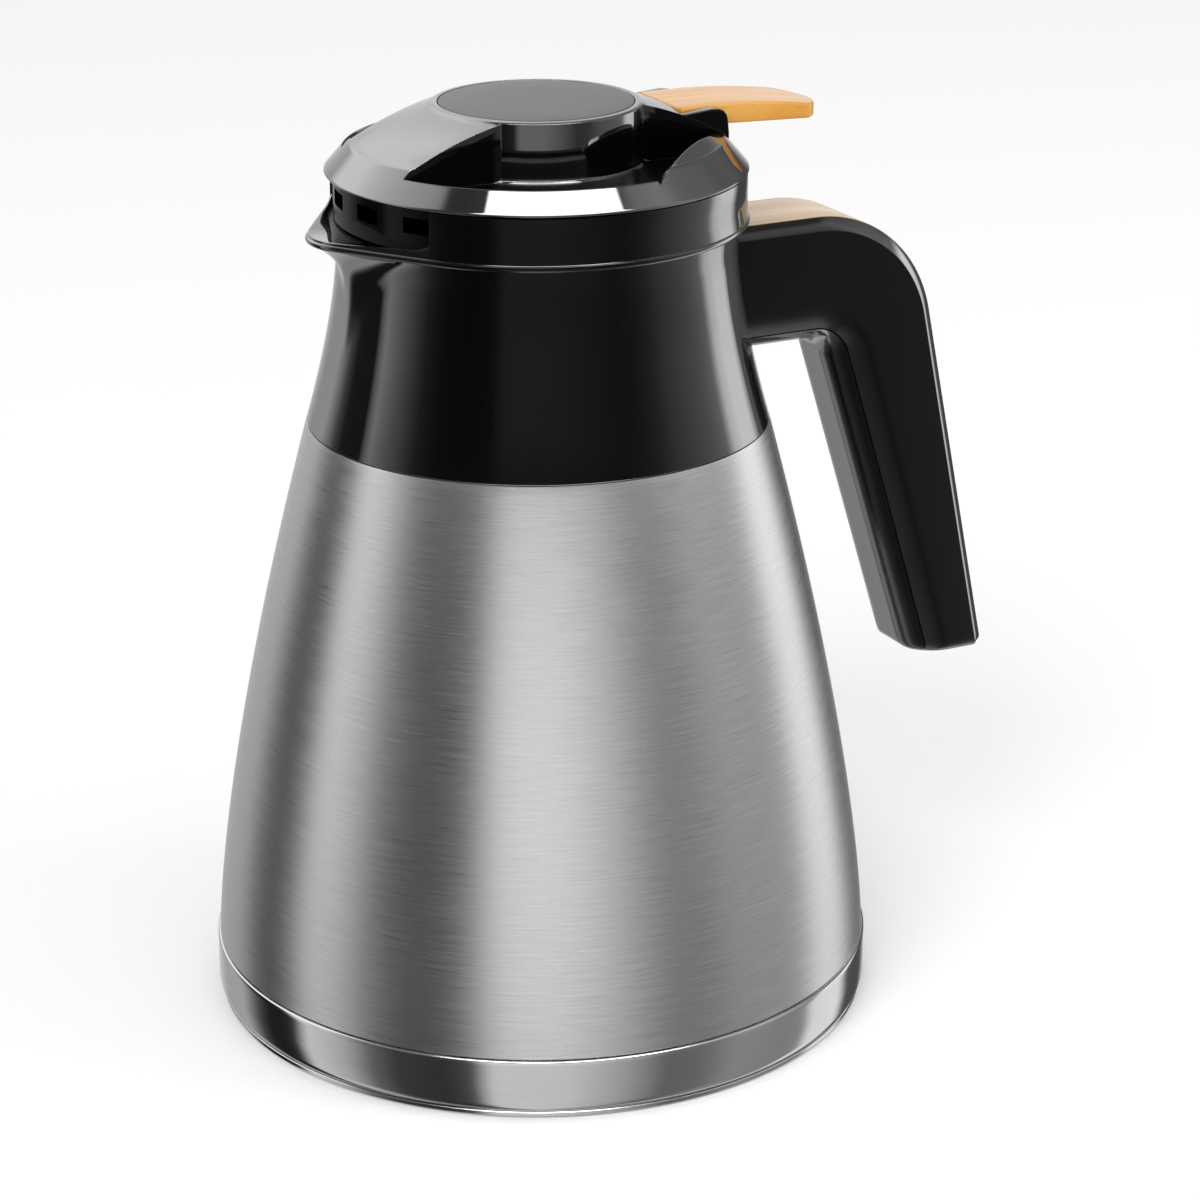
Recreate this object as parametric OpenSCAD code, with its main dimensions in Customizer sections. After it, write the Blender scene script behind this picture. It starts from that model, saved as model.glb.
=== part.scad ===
// Thermal carafe: a double-walled steel flask with a black collar and handle, and a
// quarter-turn stopper lid whose thumb lever lifts a spring-loaded pour valve.
// Origin: centre of the foot on the table. Handle towards +X, spout towards -X, +Z up.

/* [Steel body] */
// Radius of the body just above the base cup
body_r = 79.4; // [76:0.1:84]
// Radius of the body where it meets the collar
seam_r = 54.6; // [53:0.1:57]
// Drop from the collar's upper edge to the seam between body and collar
seam_drop = 59.3; // [53.5:0.1:65.5]
// How late the body tapers in: 1 is a straight cone
belly_power = 1.41; // [1.2:0.01:1.7]
// Sheet thickness of the steel walls
shell_wall = 0.8; // [0.6:0.1:1]
// Clear width of the vacuum between the walls
vacuum_gap = 2.9; // [2.4:0.1:3.2]
// Outer radius of the outer wall's neck
neck_r = 41.5; // [41.2:0.1:41.8]
// Drop from the collar's upper edge to the rolled steel rim
rim_drop = 21; // [20.5:0.1:23.5]

/* [Base cup] */
// How far the base cup stands out from the body
base_proud = 0.6; // [0.5:0.1:5]
// Height of the base cup's upper edge
base_h = 14.6; // [12:0.1:18]
// Sheet thickness of the base cup
cup_wall = 0.8; // [0.6:0.1:1]
// Width of the soft foot ring
foot_w = 8; // [5:0.5:9]
// Height of the soft foot ring
foot_h = 1.8; // [1.4:0.1:2.2]

/* [Collar] */
// Radius of the collar at its waist
waist_r = 46.7; // [46.6:0.1:47.4]
// Drop from the collar's upper edge to its waist
waist_drop = 18.5; // [16.5:0.5:19.5]
// Wall thickness of the collar
collar_wall = 2.4; // [2:0.1:2.6]
// Height of the collar's upper edge
collar_h = 203.5; // [185:0.5:215]
// Outer radius of the upright collar wall
mouth_r = 48.75; // [48.7:0.05:49]
// Radius of the bead under the upright wall
bead_r = 49.3; // [49.2:0.1:50]
// Drop from the collar's upper edge to the middle of the bead
bead_drop = 11.3; // [11.1:0.1:11.5]

/* [Spout] */
// Distance of the spout's tip from the axis
spout_reach = 56.2; // [55.5:0.1:58]
// Radius of the spout's rounded tip
spout_tip_r = 14; // [12:0.1:15]
// Height of the spout's lip above the trough floor
lip_h = 1.6; // [1.4:0.1:2.2]
// Thickness of the spout's lip
lip_wall = 1.5; // [1.2:0.1:2]
// Half angle of the pour window in the upright wall
window_half = 35; // [33:1:37]
// Fall of the lip towards its tip
lip_droop = 4.5; // [3:0.5:5]

/* [Handle] */
// Full width of the handle
handle_w = 26.6; // [24:0.1:28]
// Drop from the collar's upper edge to the handle's top face
handle_drop = 17.1; // [16.5:0.1:19.5]
// Depth of the handle's arm
arm_depth = 31.4; // [28:0.1:33]
// Distance of the grip's inner face from the axis, under the arm
grip_in_top = 74.4; // [72:0.1:80]
// Distance of the grip's inner face from the axis, at its lower end
grip_in_low = 99.6; // [94:0.1:104]
// Depth of the grip under the arm
grip_depth_top = 27.4; // [24:0.1:30]
// Depth of the grip at its lower end
grip_depth_low = 20.4; // [18:0.1:24]
// Height of the grip's lower end
grip_low = 69.5; // [60:0.5:90]
// Bevel along the handle's outer edges
handle_bevel = 2.9; // [2:0.1:4]
// Width of the bevel across the handle
bevel_w = 2.7; // [2:0.1:4]
// Radius of the handle's rounded inner edges
handle_round = 10; // [8:0.5:11]
// Radius of the outer bend
bend_out = 33; // [28:0.5:36]
// Radius of the inner bend
bend_in = 6; // [4:0.5:8]
// Wall thickness of the hollow handle
handle_wall = 2.6; // [2.2:0.1:3]
// Thickness of the inlay strip
inlay_t = 1.6; // [1.2:0.1:2]

/* [Lid] */
// Radius of the lid at its lower edge
lid_r = 49; // [48.9:0.1:50]
// Radius at the top of the chamfer
chamfer_r = 43; // [42:0.1:44]
// Height of the chamfer
chamfer_h = 6.7; // [6:0.1:7.5]
// Outer radius of the raised hub
hub_r = 24.6; // [24.2:0.1:25]
// Height of the hub above the collar's edge
hub_h = 15.8; // [15.5:0.1:16.5]
// Radius of the disc set into the hub
disc_r = 22.6; // [22:0.1:22.8]
// Thickness of the disc
disc_t = 1.5; // [1.2:0.1:1.8]
// Half width of the bridge between the two finger recesses
bridge_half = 17.5; // [16:0.1:19]
// Outer radius of the finger recesses
recess_r = 44.4; // [44:0.1:45]
// Distance from the axis to the rear edge of each recess
recess_rear = 38; // [36:0.1:39]

/* [Stopper] */
// Radius of the stopper's skirt inside the collar
skirt_r = 47; // [46.8:0.05:47.05]
// Radius of the stopper's plug in the neck
plug_r = 35.2; // [35:0.1:35.4]
// Drop from the collar's upper edge to the stopper's lower end
stopper_drop = 35.5; // [34.5:0.5:37.5]
// Wall thickness of the stopper
stopper_wall = 2.2; // [1.8:0.1:2.4]
// Radius of the valve opening
valve_hole_r = 12; // [10:0.5:13]

/* [Lever and valve] */
// Distance of the lever's pivot from the axis
pivot_x = 34.5; // [34.3:0.1:34.7]
// Rise of the lever's pivot above the collar's upper edge
pivot_rise = 8.9; // [8.8:0.1:9]
// Radius of the lever's pin
pin_r = 1.6; // [1.4:0.1:1.7]
// Width of the thumb lever
lever_w = 20.8; // [19:0.1:21]
// Distance of the lever's tip from the axis
lever_tip = 71.5; // [66:0.5:76]
// Radius of the lever's rounded end
lever_end_r = 13; // [11:0.5:16]
// Radius of the valve stem
stem_r = 2.5; // [2.2:0.1:2.8]
// Wire thickness of the valve spring
wire_d = 1.2; // [1:0.1:1.4]
// Radius of the middle of the spring's wire
coil_r = 7.5; // [6.5:0.1:8.5]
// Number of turns of the spring
coil_turns = 6; // [4:1:8]

/* [Hidden] */

$fn = 96;
e = 0.01;

// Clearances
slip = 0.3;
run_gap = 0.05;
seat_gap = 0.1;

// Body
steps = 20;
joggle = collar_wall + 0.8;
shoulder_r = seam_r - joggle;
shoulder_top = collar_h - 40.5;
plate_h = 4;
shell_low = plate_h;
base_r = body_r + base_proud;
roll_w = 2.1;
roll_h = 2.2;
flask_r = neck_r - shell_wall - vacuum_gap;
mouth_in_r = flask_r - shell_wall;

// Heights that follow the collar's top edge
seam_h = collar_h - seam_drop;
rim_h = collar_h - rim_drop;
waist_h = collar_h - waist_drop;
bead_h = collar_h - bead_drop;
trough_h = collar_h - 10.7;
handle_top = collar_h - handle_drop;
stopper_low = collar_h - stopper_drop;
pivot_h = collar_h + pivot_rise;

// Collar
collar_curve = (seam_r - waist_r) / pow(waist_h - seam_h, 1.5);
bore_r = neck_r + roll_w + 0.8;
flange_h = 2.2;
gasket_h = 1.4;
flange_low = rim_h + gasket_h;
flange_top = flange_low + flange_h;
flange_in_r = mouth_in_r + 0.2;
lug_reach = 4.9;
channel_r = plug_r + lug_reach + slip;
ledge_in_r = plug_r + 1.2;
ledge_h = 3;
ledge_low = trough_h - ledge_h - 0.4;
ledge_span = 66;
lug_span = 30;
lug_count = 3;
collar_in_r = skirt_r + 0.35;
spout_c = spout_reach - spout_tip_r;
bead_w = 1.4;
flare_low = collar_h - 31.5;
flare_tip = 11;
flare_start = 48.8;
flare_steps = 9;
flare_arc = 20;

// Handle
half_w = handle_w / 2;
face_half = half_w - bevel_w;
arm_start = 43;
arm_low = handle_top - arm_depth;
cover_t = 4;
part_line = 0.15;
inlay_proud = 0.2;
screw_z = [collar_h - 42.5, collar_h - 34.5];
handle_screw_r = 1.8;
handle_head_r = 3.2;
handle_head_t = 1.6;
handle_screw_l = 13;
screw_seat = bore_r + handle_head_t + seat_gap;
screw_boss_half = 5.5;
screw_boss_low = screw_z[0] - handle_head_r - 0.7;
screw_boss_h = screw_z[1] + handle_head_r + 1.3 - screw_boss_low;

// Lid
lid_low = collar_h + 0.2;
chamfer_low = collar_h + 0.5;
chamfer_top = chamfer_low + chamfer_h;
hub_top = collar_h + hub_h;
recess_floor = lid_low + 1.9;
disc_seat = hub_top - disc_t - 0.1;
hub_in_r = 21.4;
hub_floor = lid_low + 1.7;
bracket_half = 13.4;
bracket_out = 43.3;
pocket_half = lever_w / 2 + 0.4;
pocket_floor = pivot_h - 3;
passage_half = 5.8;
passage_top = pivot_h + 1.5;
cheek_top = pivot_h + 3.4;
saddle_in = 31.3;

// Stopper
cap_t = 1.8;
cap_top = lid_low - slip;
cap_low = cap_top - cap_t;
skirt_low = trough_h + slip;
skirt_wall = 2;
slot_span = 10;
slot_low = cap_low - 4;
boss_r = 3;
lid_screw_r = 15;
lid_screw_d = 2.6;
lid_head_r = 2.8;
lid_head_t = 1.6;
guide_r = 5;

// Lever and valve
barrel_r = 2.7;
barrel_half = lever_w / 2 - 0.4;
lever_top = pivot_h + 3.8;
lever_low = pivot_h - 0.9;
plate_half = 7;
plate_l = 23.5;
plate_t = 2;
lever_start = saddle_in + 0.6;
pin_half = 12.3;
pad_r = 1.5;
pad_h = pivot_h - 5;
fork_half = 5.4;
fork_gap = stem_r + 0.6;
nut_low = pad_h + pad_r + slip;
nut_t = 1.8;
seat_h = stopper_low + 2.2;
washer_t = 1.3;
plug_t = 3;
valve_r = valve_hole_r + 3.5;
spring_low = seat_h + washer_t + plug_t;
groove_d = 1;
spring_top = cap_low + groove_d;

// Radius of the steel body at height z
function body_at(z) =
    body_r - (body_r - seam_r) * pow(max(0, z - base_h) / (seam_h - base_h), belly_power);

// Radius of the collar at height z
function collar_at(z) = waist_r + collar_curve * pow(abs(z - waist_h), 1.5);

// Half a cosine wave from 0 to 1
function ease(t) = (1 - cos(180 * t)) / 2;

// Right-hand outline of everything inside the outer wall, from the foot up to the rim
skirt_in_r = body_r - cup_wall - 0.3;
function body_outline() = concat(
    [[skirt_in_r - 3, shell_low], [skirt_in_r, shell_low + 3], [skirt_in_r, base_h],
     [body_r, base_h + seat_gap]],
    [for (i = [1:steps]) let (z = base_h + (seam_h - base_h) * i / steps) [body_at(z), z]],
    [for (i = [0:8]) let (t = i / 8)
        [shoulder_r + (neck_r - shoulder_r) * ease(t), seam_h + run_gap + (shoulder_top - seam_h) * t]],
    [[neck_r, rim_h - roll_h], [neck_r + roll_w, rim_h - roll_h + 0.3], [neck_r + roll_w, rim_h]]);

// The same outline on both sides of the axis
module body_section() {
    right = body_outline();
    polygon(concat(right, [for (i = [len(right) - 1:-1:0]) [-right[i][0], right[i][1]]]));
}

// Half of the plane, on the axis' right-hand side
module right_half() {
    intersection() {
        children();
        translate([0, -e]) square([2 * body_r, 2 * collar_h]);
    }
}

// Ring-shaped solid between two radii and two heights
module ring(r_in, r_out, low, high) {
    rotate_extrude() translate([r_in, low]) square([r_out - r_in, high - low]);
}

// Slice of a ring: span degrees wide, centred on the direction mid
module ring_piece(r_in, r_out, low, high, mid, span) {
    rotate([0, 0, mid - span / 2])
        rotate_extrude(angle = span) translate([r_in, low]) square([r_out - r_in, high - low]);
}

// Steel outer wall, from inside the base cup up to the rolled rim
module outer_shell() {
    floor_cut = skirt_in_r - 12;
    color("silver") rotate_extrude() right_half() difference() {
        body_section();
        offset(delta = -shell_wall) body_section();
        translate([-floor_cut, 0]) square([2 * floor_cut, shell_low + shell_wall + e]);
        translate([-neck_r + shell_wall, rim_h - 3]) square([2 * (neck_r - shell_wall), 4]);
    }
}

// Outline of the flask's outside, which follows the outer wall across the vacuum
module flask_section() {
    offset(r = 9) offset(delta = -9 - shell_wall - vacuum_gap) body_section();
    translate([-flask_r, shoulder_top - 6]) square([2 * flask_r, rim_h - shoulder_top + 6]);
}

// Steel inner flask that holds the coffee, open at the mouth
module inner_flask() {
    flange_r = neck_r - shell_wall - run_gap;
    color("lightgray") rotate_extrude() right_half() difference() {
        union() {
            flask_section();
            translate([-flange_r, rim_h - shell_wall]) square([2 * flange_r, shell_wall]);
        }
        offset(delta = -shell_wall) flask_section();
        translate([-mouth_in_r, shoulder_top]) square([2 * mouth_in_r, rim_h]);
    }
}

// Plate that closes the vacuum from below, dished up at its middle
module vacuum_plate() {
    plate_r = skirt_in_r - 12;
    color("silver") rotate_extrude() polygon([
        [3, plate_h + 0.6], [12, plate_h], [plate_r + 2, plate_h], [plate_r + 2, plate_h - shell_wall],
        [12, plate_h - shell_wall], [3, plate_h + 0.6 - shell_wall]]);
}

// Gas-absorbing disc on the underside of the flask
module getter_disc() {
    color("dimgray") translate([0, 0, shell_low + shell_wall + vacuum_gap - 1.2 - seat_gap])
        cylinder(r = 10, h = 1.2);
}

// Brazed bead in the pump-out hole of the plate
module vacuum_seal() {
    color("goldenrod") translate([0, 0, plate_h - shell_wall]) cylinder(r = 2.9, h = 1.2);
}

// Polished cup pressed over the lower end of the body
module base_cup() {
    skirt_in = base_r - cup_wall - 2;
    foot_in = skirt_in - foot_w - 2 * seat_gap;
    lip = 0.3;
    color("silver") rotate_extrude() polygon([
        [0, foot_h], [foot_in - 1, foot_h], [foot_in - 1, lip], [foot_in, lip], [foot_in, foot_h],
        [skirt_in, foot_h], [skirt_in, lip], [base_r - 0.8, lip], [base_r - 0.8, 1.4],
        [base_r - 1.2, 1.5], [base_r - 1.2, 1.8], [base_r - 0.7, 2], [base_r - 0.3, 2.5],
        [base_r, 3.6], [base_r, base_h - 1.2], [base_r - 0.2, base_h - 0.4], [base_r - 0.55, base_h],
        [body_r - cup_wall - 0.1, base_h - 0.1], [body_r - cup_wall - 0.1, 6],
        [body_r - cup_wall - 4, foot_h + cup_wall], [0, foot_h + cup_wall]]);
}

// Soft ring that the carafe stands on
module foot_ring() {
    ring_out = base_r - cup_wall - 2 - seat_gap;
    color("gainsboro") rotate_extrude() polygon([
        [ring_out - foot_w, 0.3], [ring_out - foot_w + 0.3, 0], [ring_out - 0.3, 0], [ring_out, 0.3],
        [ring_out, foot_h], [ring_out - foot_w, foot_h]]);
}

// Teardrop outline of the spout: a round mouth with a small round tip
module spout_outline(mouth, tip, centre) {
    hull() {
        circle(r = mouth);
        translate([-centre, 0]) circle(r = tip, $fn = 48);
    }
}

// Spout section at height z: the far side of a teardrop, closed by a chord inside the collar
function spout_points(z, mouth, tip, centre) = let (a = acos((tip - mouth) / centre))
    concat([[mouth * cos(a), mouth * sin(a), z]],
           [for (i = [0:flare_arc]) let (t = a + (360 - 2 * a) * i / flare_arc)
               [tip * cos(t) - centre, tip * sin(t), z]],
           [[mouth * cos(a), -mouth * sin(a), z]]);

// Tip radius and reach of the flare, from its foot (0) to the bead (1)
function flare_tip_at(t) = flare_tip + (spout_tip_r - 0.2 - flare_tip) * t;
function flare_reach_at(t) = flare_start + (spout_reach - 0.2 - flare_start) * pow(t, 4.5);

// Flared underside of the spout, which grows out of the collar's front as a hollow curve
module flare() {
    top = bead_h - 0.3;
    n = flare_arc + 3;
    points = [for (k = [0:flare_steps])
        let (t = pow(k / flare_steps, 0.6), z = flare_low + (top - flare_low) * t)
        each spout_points(z, collar_at(z) - 0.6, flare_tip_at(t), flare_reach_at(t) - flare_tip_at(t))];
    sides = [for (k = [0:flare_steps - 1]) for (i = [0:n - 1])
        let (a = k * n + i, b = k * n + (i + 1) % n) each [[a, b + n, b], [a, a + n, b + n]]];
    polyhedron(points, concat([[for (i = [0:n - 1]) i]], sides,
                              [[for (i = [n - 1:-1:0]) flare_steps * n + i]]));
}

// Half section of the collar's outside, grown by gap
module collar_outline(gap) {
    low = seam_h + seat_gap;
    top_curve = bead_h - bead_w / 2;
    polygon(concat(
        [[0, low]],
        [for (i = [0:16]) let (z = low + (top_curve - low) * i / 16) [collar_at(z) + gap, z]],
        [[bead_r - 0.5 + gap, top_curve], [bead_r + gap, bead_h - 0.4], [bead_r + gap, bead_h + 0.4],
         [bead_r - 0.5 + gap, top_curve + bead_w], [mouth_r + gap, top_curve + bead_w + 0.05],
         [mouth_r + gap, collar_h - 0.4], [mouth_r - 0.4 + gap, collar_h], [0, collar_h]]));
}

// Half section of the hollow inside the collar
module collar_hollow() {
    low = seam_h + seat_gap - 1;
    polygon(concat(
        [[0, low]],
        [for (i = [0:10]) let (z = low + (waist_h - 8 - low) * i / 10)
            [max(bore_r, collar_at(z) - collar_wall), z]],
        [[bore_r, flange_low], [flange_in_r, flange_low], [flange_in_r, flange_top],
         [channel_r, flange_top], [channel_r, trough_h], [collar_in_r, trough_h],
         [collar_in_r, collar_h + 1], [0, collar_h + 1]]));
}

// Spout: bead, lip and flared underside around the collar's front
module spout_body() {
    translate([0, 0, bead_h - bead_w / 2 + 0.1]) linear_extrude(bead_w - 0.3)
        spout_outline(bead_r - 0.2, spout_tip_r + 0.9, spout_c);
    translate([0, 0, bead_h]) linear_extrude(trough_h + lip_h - bead_h)
        spout_outline(mouth_r - 0.2, spout_tip_r, spout_c);
    flare();
}

// Trough that the coffee runs along, with sloping sides
module spout_trough() {
    hull() {
        translate([0, 0, trough_h]) cylinder(r = skirt_r - 1, h = 0.1, $fn = 64);
        translate([0, 0, trough_h + lip_h + 0.3]) cylinder(r = skirt_r - 1, h = 1, $fn = 64);
        translate([-spout_c, 0, trough_h])
            cylinder(r = spout_tip_r - lip_wall - lip_h, h = 0.1, $fn = 32);
        translate([-spout_c, 0, trough_h + lip_h + 0.3])
            cylinder(r = spout_tip_r - lip_wall, h = 1, $fn = 32);
    }
}

// Space above the lip, in front of the pour window, with a floor that falls towards the tip
module pour_window() {
    low = trough_h + lip_h;
    fold = -mouth_r * cos(window_half) - 3.6;
    near = -collar_in_r / 2;
    far = -spout_reach - 5;
    intersection() {
        ring_piece(collar_in_r - 1, spout_reach + 6, trough_h - 4, collar_h + 1, 180, 2 * window_half);
        translate([0, mouth_r, 0]) rotate([90, 0, 0]) linear_extrude(2 * mouth_r)
            polygon([[near, low], [fold, low], [far, low + (far - fold) * tan(lip_droop)],
                     [far, collar_h + 2], [near, collar_h + 2]]);
    }
}

// Black collar with the spout, the pour window and the ledges that hold the lid
module collar() {
    color("black") difference() {
        union() {
            difference() {
                union() {
                    rotate_extrude() collar_outline(0);
                    spout_body();
                }
                rotate_extrude() collar_hollow();
                spout_trough();
            }
            for (i = [0:lug_count - 1])
                ring_piece(ledge_in_r, channel_r + 1, ledge_low, ledge_low + ledge_h,
                           i * 360 / lug_count, ledge_span);
            intersection() {
                rotate_extrude() collar_outline(-1);
                translate([bore_r, -screw_boss_half, screw_boss_low])
                    cube([10, 2 * screw_boss_half, screw_boss_h]);
            }
        }
        pour_window();
        for (z = screw_z)
            translate([bore_r - 3, 0, z]) rotate([0, 90, 0]) {
                cylinder(r = handle_screw_r + 0.2, h = 12);
                cylinder(r = handle_head_r + slip, h = screw_seat - bore_r + 3);
            }
    }
}

// Silicone ring between the steel rim and the collar's flange
module neck_gasket() {
    color("white") ring(flange_in_r + 0.6, neck_r + 1, rim_h, flange_low);
}

// Threaded ring that pulls the collar down over the rolled rim
module neck_ring() {
    color("dimgray") difference() {
        ring(neck_r + slip, bore_r - run_gap, rim_h - roll_h - 7, rim_h - roll_h);
        for (a = [0:60:300])
            rotate([0, 0, a]) translate([neck_r + slip - 2, -2, rim_h - roll_h - 8]) cube([3.4, 4, 3]);
    }
}

// Side view of the handle: outer and inner edge at station s, from the root (0) to the grip's end (1)
bend_start = grip_in_top - bend_in - 1.2;
grip_lean = atan2(grip_in_low + grip_depth_low - grip_in_top - grip_depth_top, arm_low - grip_low);
grip_lean_in = atan2(grip_in_low - grip_in_top, arm_low - grip_low);
out_c = [grip_in_top + grip_depth_top - bend_out, handle_top - bend_out];
in_c = [grip_in_top - bend_in, arm_low - bend_in];
bend_steps = 8;
inlay_end = 9;
function outer_edge() = concat(
    [[arm_start, handle_top]],
    [for (i = [0:bend_steps]) let (a = 90 - (90 - grip_lean) * i / bend_steps)
        out_c + bend_out * [cos(a), sin(a)]],
    [[grip_in_low + grip_depth_low - inlay_end * tan(grip_lean), grip_low + inlay_end],
     [grip_in_low + grip_depth_low - 2 * sin(grip_lean), grip_low + 2],
     [grip_in_low + grip_depth_low - 1.8, grip_low]]);
function inner_edge() = concat(
    [[arm_start, arm_low]],
    [for (i = [0:bend_steps]) let (a = 90 - (90 - grip_lean_in) * i / bend_steps)
        in_c + bend_in * [cos(a), sin(a)]],
    [[grip_in_low - inlay_end * tan(grip_lean_in), grip_low + inlay_end],
     [grip_in_low - 2 * sin(grip_lean_in), grip_low + 2], [grip_in_low + 1, grip_low]]);

// Cross-sections are [across, depth] pairs; depth runs from the outer edge (0) to the inner edge (d)
// Half width of the rounded inner edge at a height h above the inner face
function round_half(h) =
    half_w - handle_round + sqrt(pow(handle_round, 2) - pow(handle_round - h, 2));

// The shell stops short of the inner face, and the cover fills what it leaves
function shell_section(d) = let (s = cover_t + part_line) concat(
    [[-face_half, 0], [face_half, 0], [half_w, handle_bevel]],
    [for (h = [handle_round, 7.5, 5.5, s]) [round_half(h), d - h]],
    [for (h = [s, 5.5, 7.5, handle_round]) [-round_half(h), d - h]],
    [[-half_w, handle_bevel]]);
function cover_section(d) = concat(
    [for (h = [cover_t, 2.4, 1.2, 0.4, 0]) [round_half(h) - (h == cover_t ? slip : 0), d - h]],
    [for (h = [0, 0.4, 1.2, 2.4, cover_t]) [-round_half(h) + (h == cover_t ? slip : 0), d - h]]);

// Solid through a row of cross-sections, each lying between an outer and an inner edge point
module loft(outer, inner, sections) {
    n = len(sections[0]);
    m = len(outer);
    points = [for (k = [0:m - 1]) let (axis = (inner[k] - outer[k]) / norm(inner[k] - outer[k]))
        for (p = sections[k]) [outer[k][0] + axis[0] * p[1], p[0], outer[k][1] + axis[1] * p[1]]];
    sides = [for (k = [0:m - 2]) for (i = [0:n - 1]) let (a = k * n + i, b = k * n + (i + 1) % n)
        each [[a, b, b + n], [a, b + n, a + n]]];
    polyhedron(points, concat([[for (i = [n - 1:-1:0]) i]], sides,
        [[for (i = [0:n - 1]) (m - 1) * n + i]]));
}

handle_out = outer_edge();
handle_in = inner_edge();
stations = len(handle_out);
function depth_at(k) = norm(handle_in[k] - handle_out[k]);
function axis_at(k) = (handle_in[k] - handle_out[k]) / depth_at(k);
inlay_k = [for (k = [0:stations - 3]) k];
hollow_k = [for (k = [1:stations - 3]) k];

// Straight-sided band along the handle, half wide each way, between two depths under the outer edge.
// A negative far depth counts back from the inner edge.
module handle_band(half, ks, near, far) {
    translate([0, half, 0]) rotate([90, 0, 0]) linear_extrude(2 * half) polygon(concat(
        [for (k = ks) handle_out[k] + near * axis_at(k)],
        [for (i = [len(ks) - 1:-1:0]) let (k = ks[i])
            handle_out[k] + (far < 0 ? depth_at(k) + far : far) * axis_at(k)]));
}

// Space that the handle's root leaves for the collar
module collar_space() {
    rotate_extrude() collar_outline(seat_gap);
}

// Black handle shell: outer face and sides of the arm and the grip
module handle_shell() {
    color("black") difference() {
        loft(handle_out, handle_in, [for (k = [0:stations - 1]) shell_section(depth_at(k))]);
        translate([slip, 0, 2 * slip])
            handle_band(face_half - 2, hollow_k, handle_wall + inlay_t, 1 - cover_t);
        handle_band(face_half - 0.2 + run_gap, inlay_k, -1, inlay_t + run_gap);
        collar_space();
        for (z = screw_z)
            translate([arm_start, 0, z]) rotate([0, 90, 0])
                cylinder(r = handle_screw_r - 0.3, h = screw_seat + handle_screw_l + 1 - arm_start);
    }
}

// Inner half of the handle, which closes the shell along the parting line
module handle_cover() {
    color("black") difference() {
        loft(handle_out, handle_in, [for (k = [0:stations - 1]) cover_section(depth_at(k))]);
        collar_space();
    }
}

// Pale wood-look strip let into the handle's outer face
module handle_inlay() {
    color("burlywood") difference() {
        handle_band(face_half - 0.2, inlay_k, -inlay_proud, inlay_t);
        collar_space();
    }
}

// Screws that hold the handle, driven from inside the collar
module handle_screws() {
    color("gray") for (z = screw_z) translate([screw_seat - handle_head_t, 0, z]) rotate([0, 90, 0]) {
        difference() {
            cylinder(r = handle_head_r, h = handle_head_t);
            translate([-2.2, -0.4, -e]) cube([4.4, 0.8, 0.7]);
        }
        translate([0, 0, handle_head_t - e]) cylinder(r = handle_screw_r - 0.35, h = handle_screw_l);
    }
}

// Half section of the lid without its recesses
module lid_section() {
    dome = hub_top - 1.8;
    polygon([
        [hub_in_r, lid_low], [collar_in_r, lid_low], [lid_r - 0.4, lid_low], [lid_r, lid_low + 0.3],
        [lid_r, chamfer_low], [chamfer_r + 0.4, chamfer_top - 0.3], [chamfer_r - 0.4, chamfer_top + 0.2],
        [(chamfer_r + hub_r) / 2, (chamfer_top + dome) / 2 + 0.6], [hub_r, dome], [hub_r, hub_top - 0.6],
        [hub_r - 0.6, hub_top], [disc_r + 0.3, hub_top], [disc_r + 0.1, hub_top - 0.3],
        [disc_r + 0.1, disc_seat], [hub_in_r, disc_seat]]);
}

// Outline of one finger recess, seen from above, on the side of the handle's right hand
module recess_plan() {
    lean = -47.5;
    step_x = 2;
    far = lid_r + 11;
    intersection() {
        polygon([[-far, -bridge_half], [step_x, -bridge_half], [step_x, -bracket_half - 0.1],
                 [far, -bracket_half - 0.1], [far, -far], [-far, -far]]);
        rotate([0, 0, lean]) translate([recess_rear - 2 * far, -far]) square(2 * far);
    }
}

// Half section of the scoop that both finger recesses are cut with
module scoop_section() {
    rim = chamfer_top - 1.7;
    scoop_flat = recess_r - 11.4;
    over = hub_top + 10;
    polygon(concat(
        [[hub_r, over], [hub_r, recess_floor + 1], [hub_r + 1, recess_floor]],
        [for (i = [0:6]) let (t = i / 6)
            [scoop_flat + (recess_r - scoop_flat) * sin(90 * t),
             recess_floor + (rim - recess_floor) * (1 - cos(90 * t))]],
        [[recess_r, over]]));
}

// Side view of the lever bracket, with its saddle between hub and lever
module bracket_side() {
    polygon([[18, lid_low + 1], [18, hub_top - 1], [hub_r - 2.6, hub_top - 1], [hub_r - 0.8, hub_top - 1.6],
             [hub_r + 3.4, cheek_top - 0.6], [hub_r + 4.9, cheek_top - 0.9], [bracket_out - 2.7, cheek_top],
             [bracket_out - 0.9, cheek_top - 0.6], [bracket_out, cheek_top - 2.2],
             [bracket_out, lid_low + 1]]);
}

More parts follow.
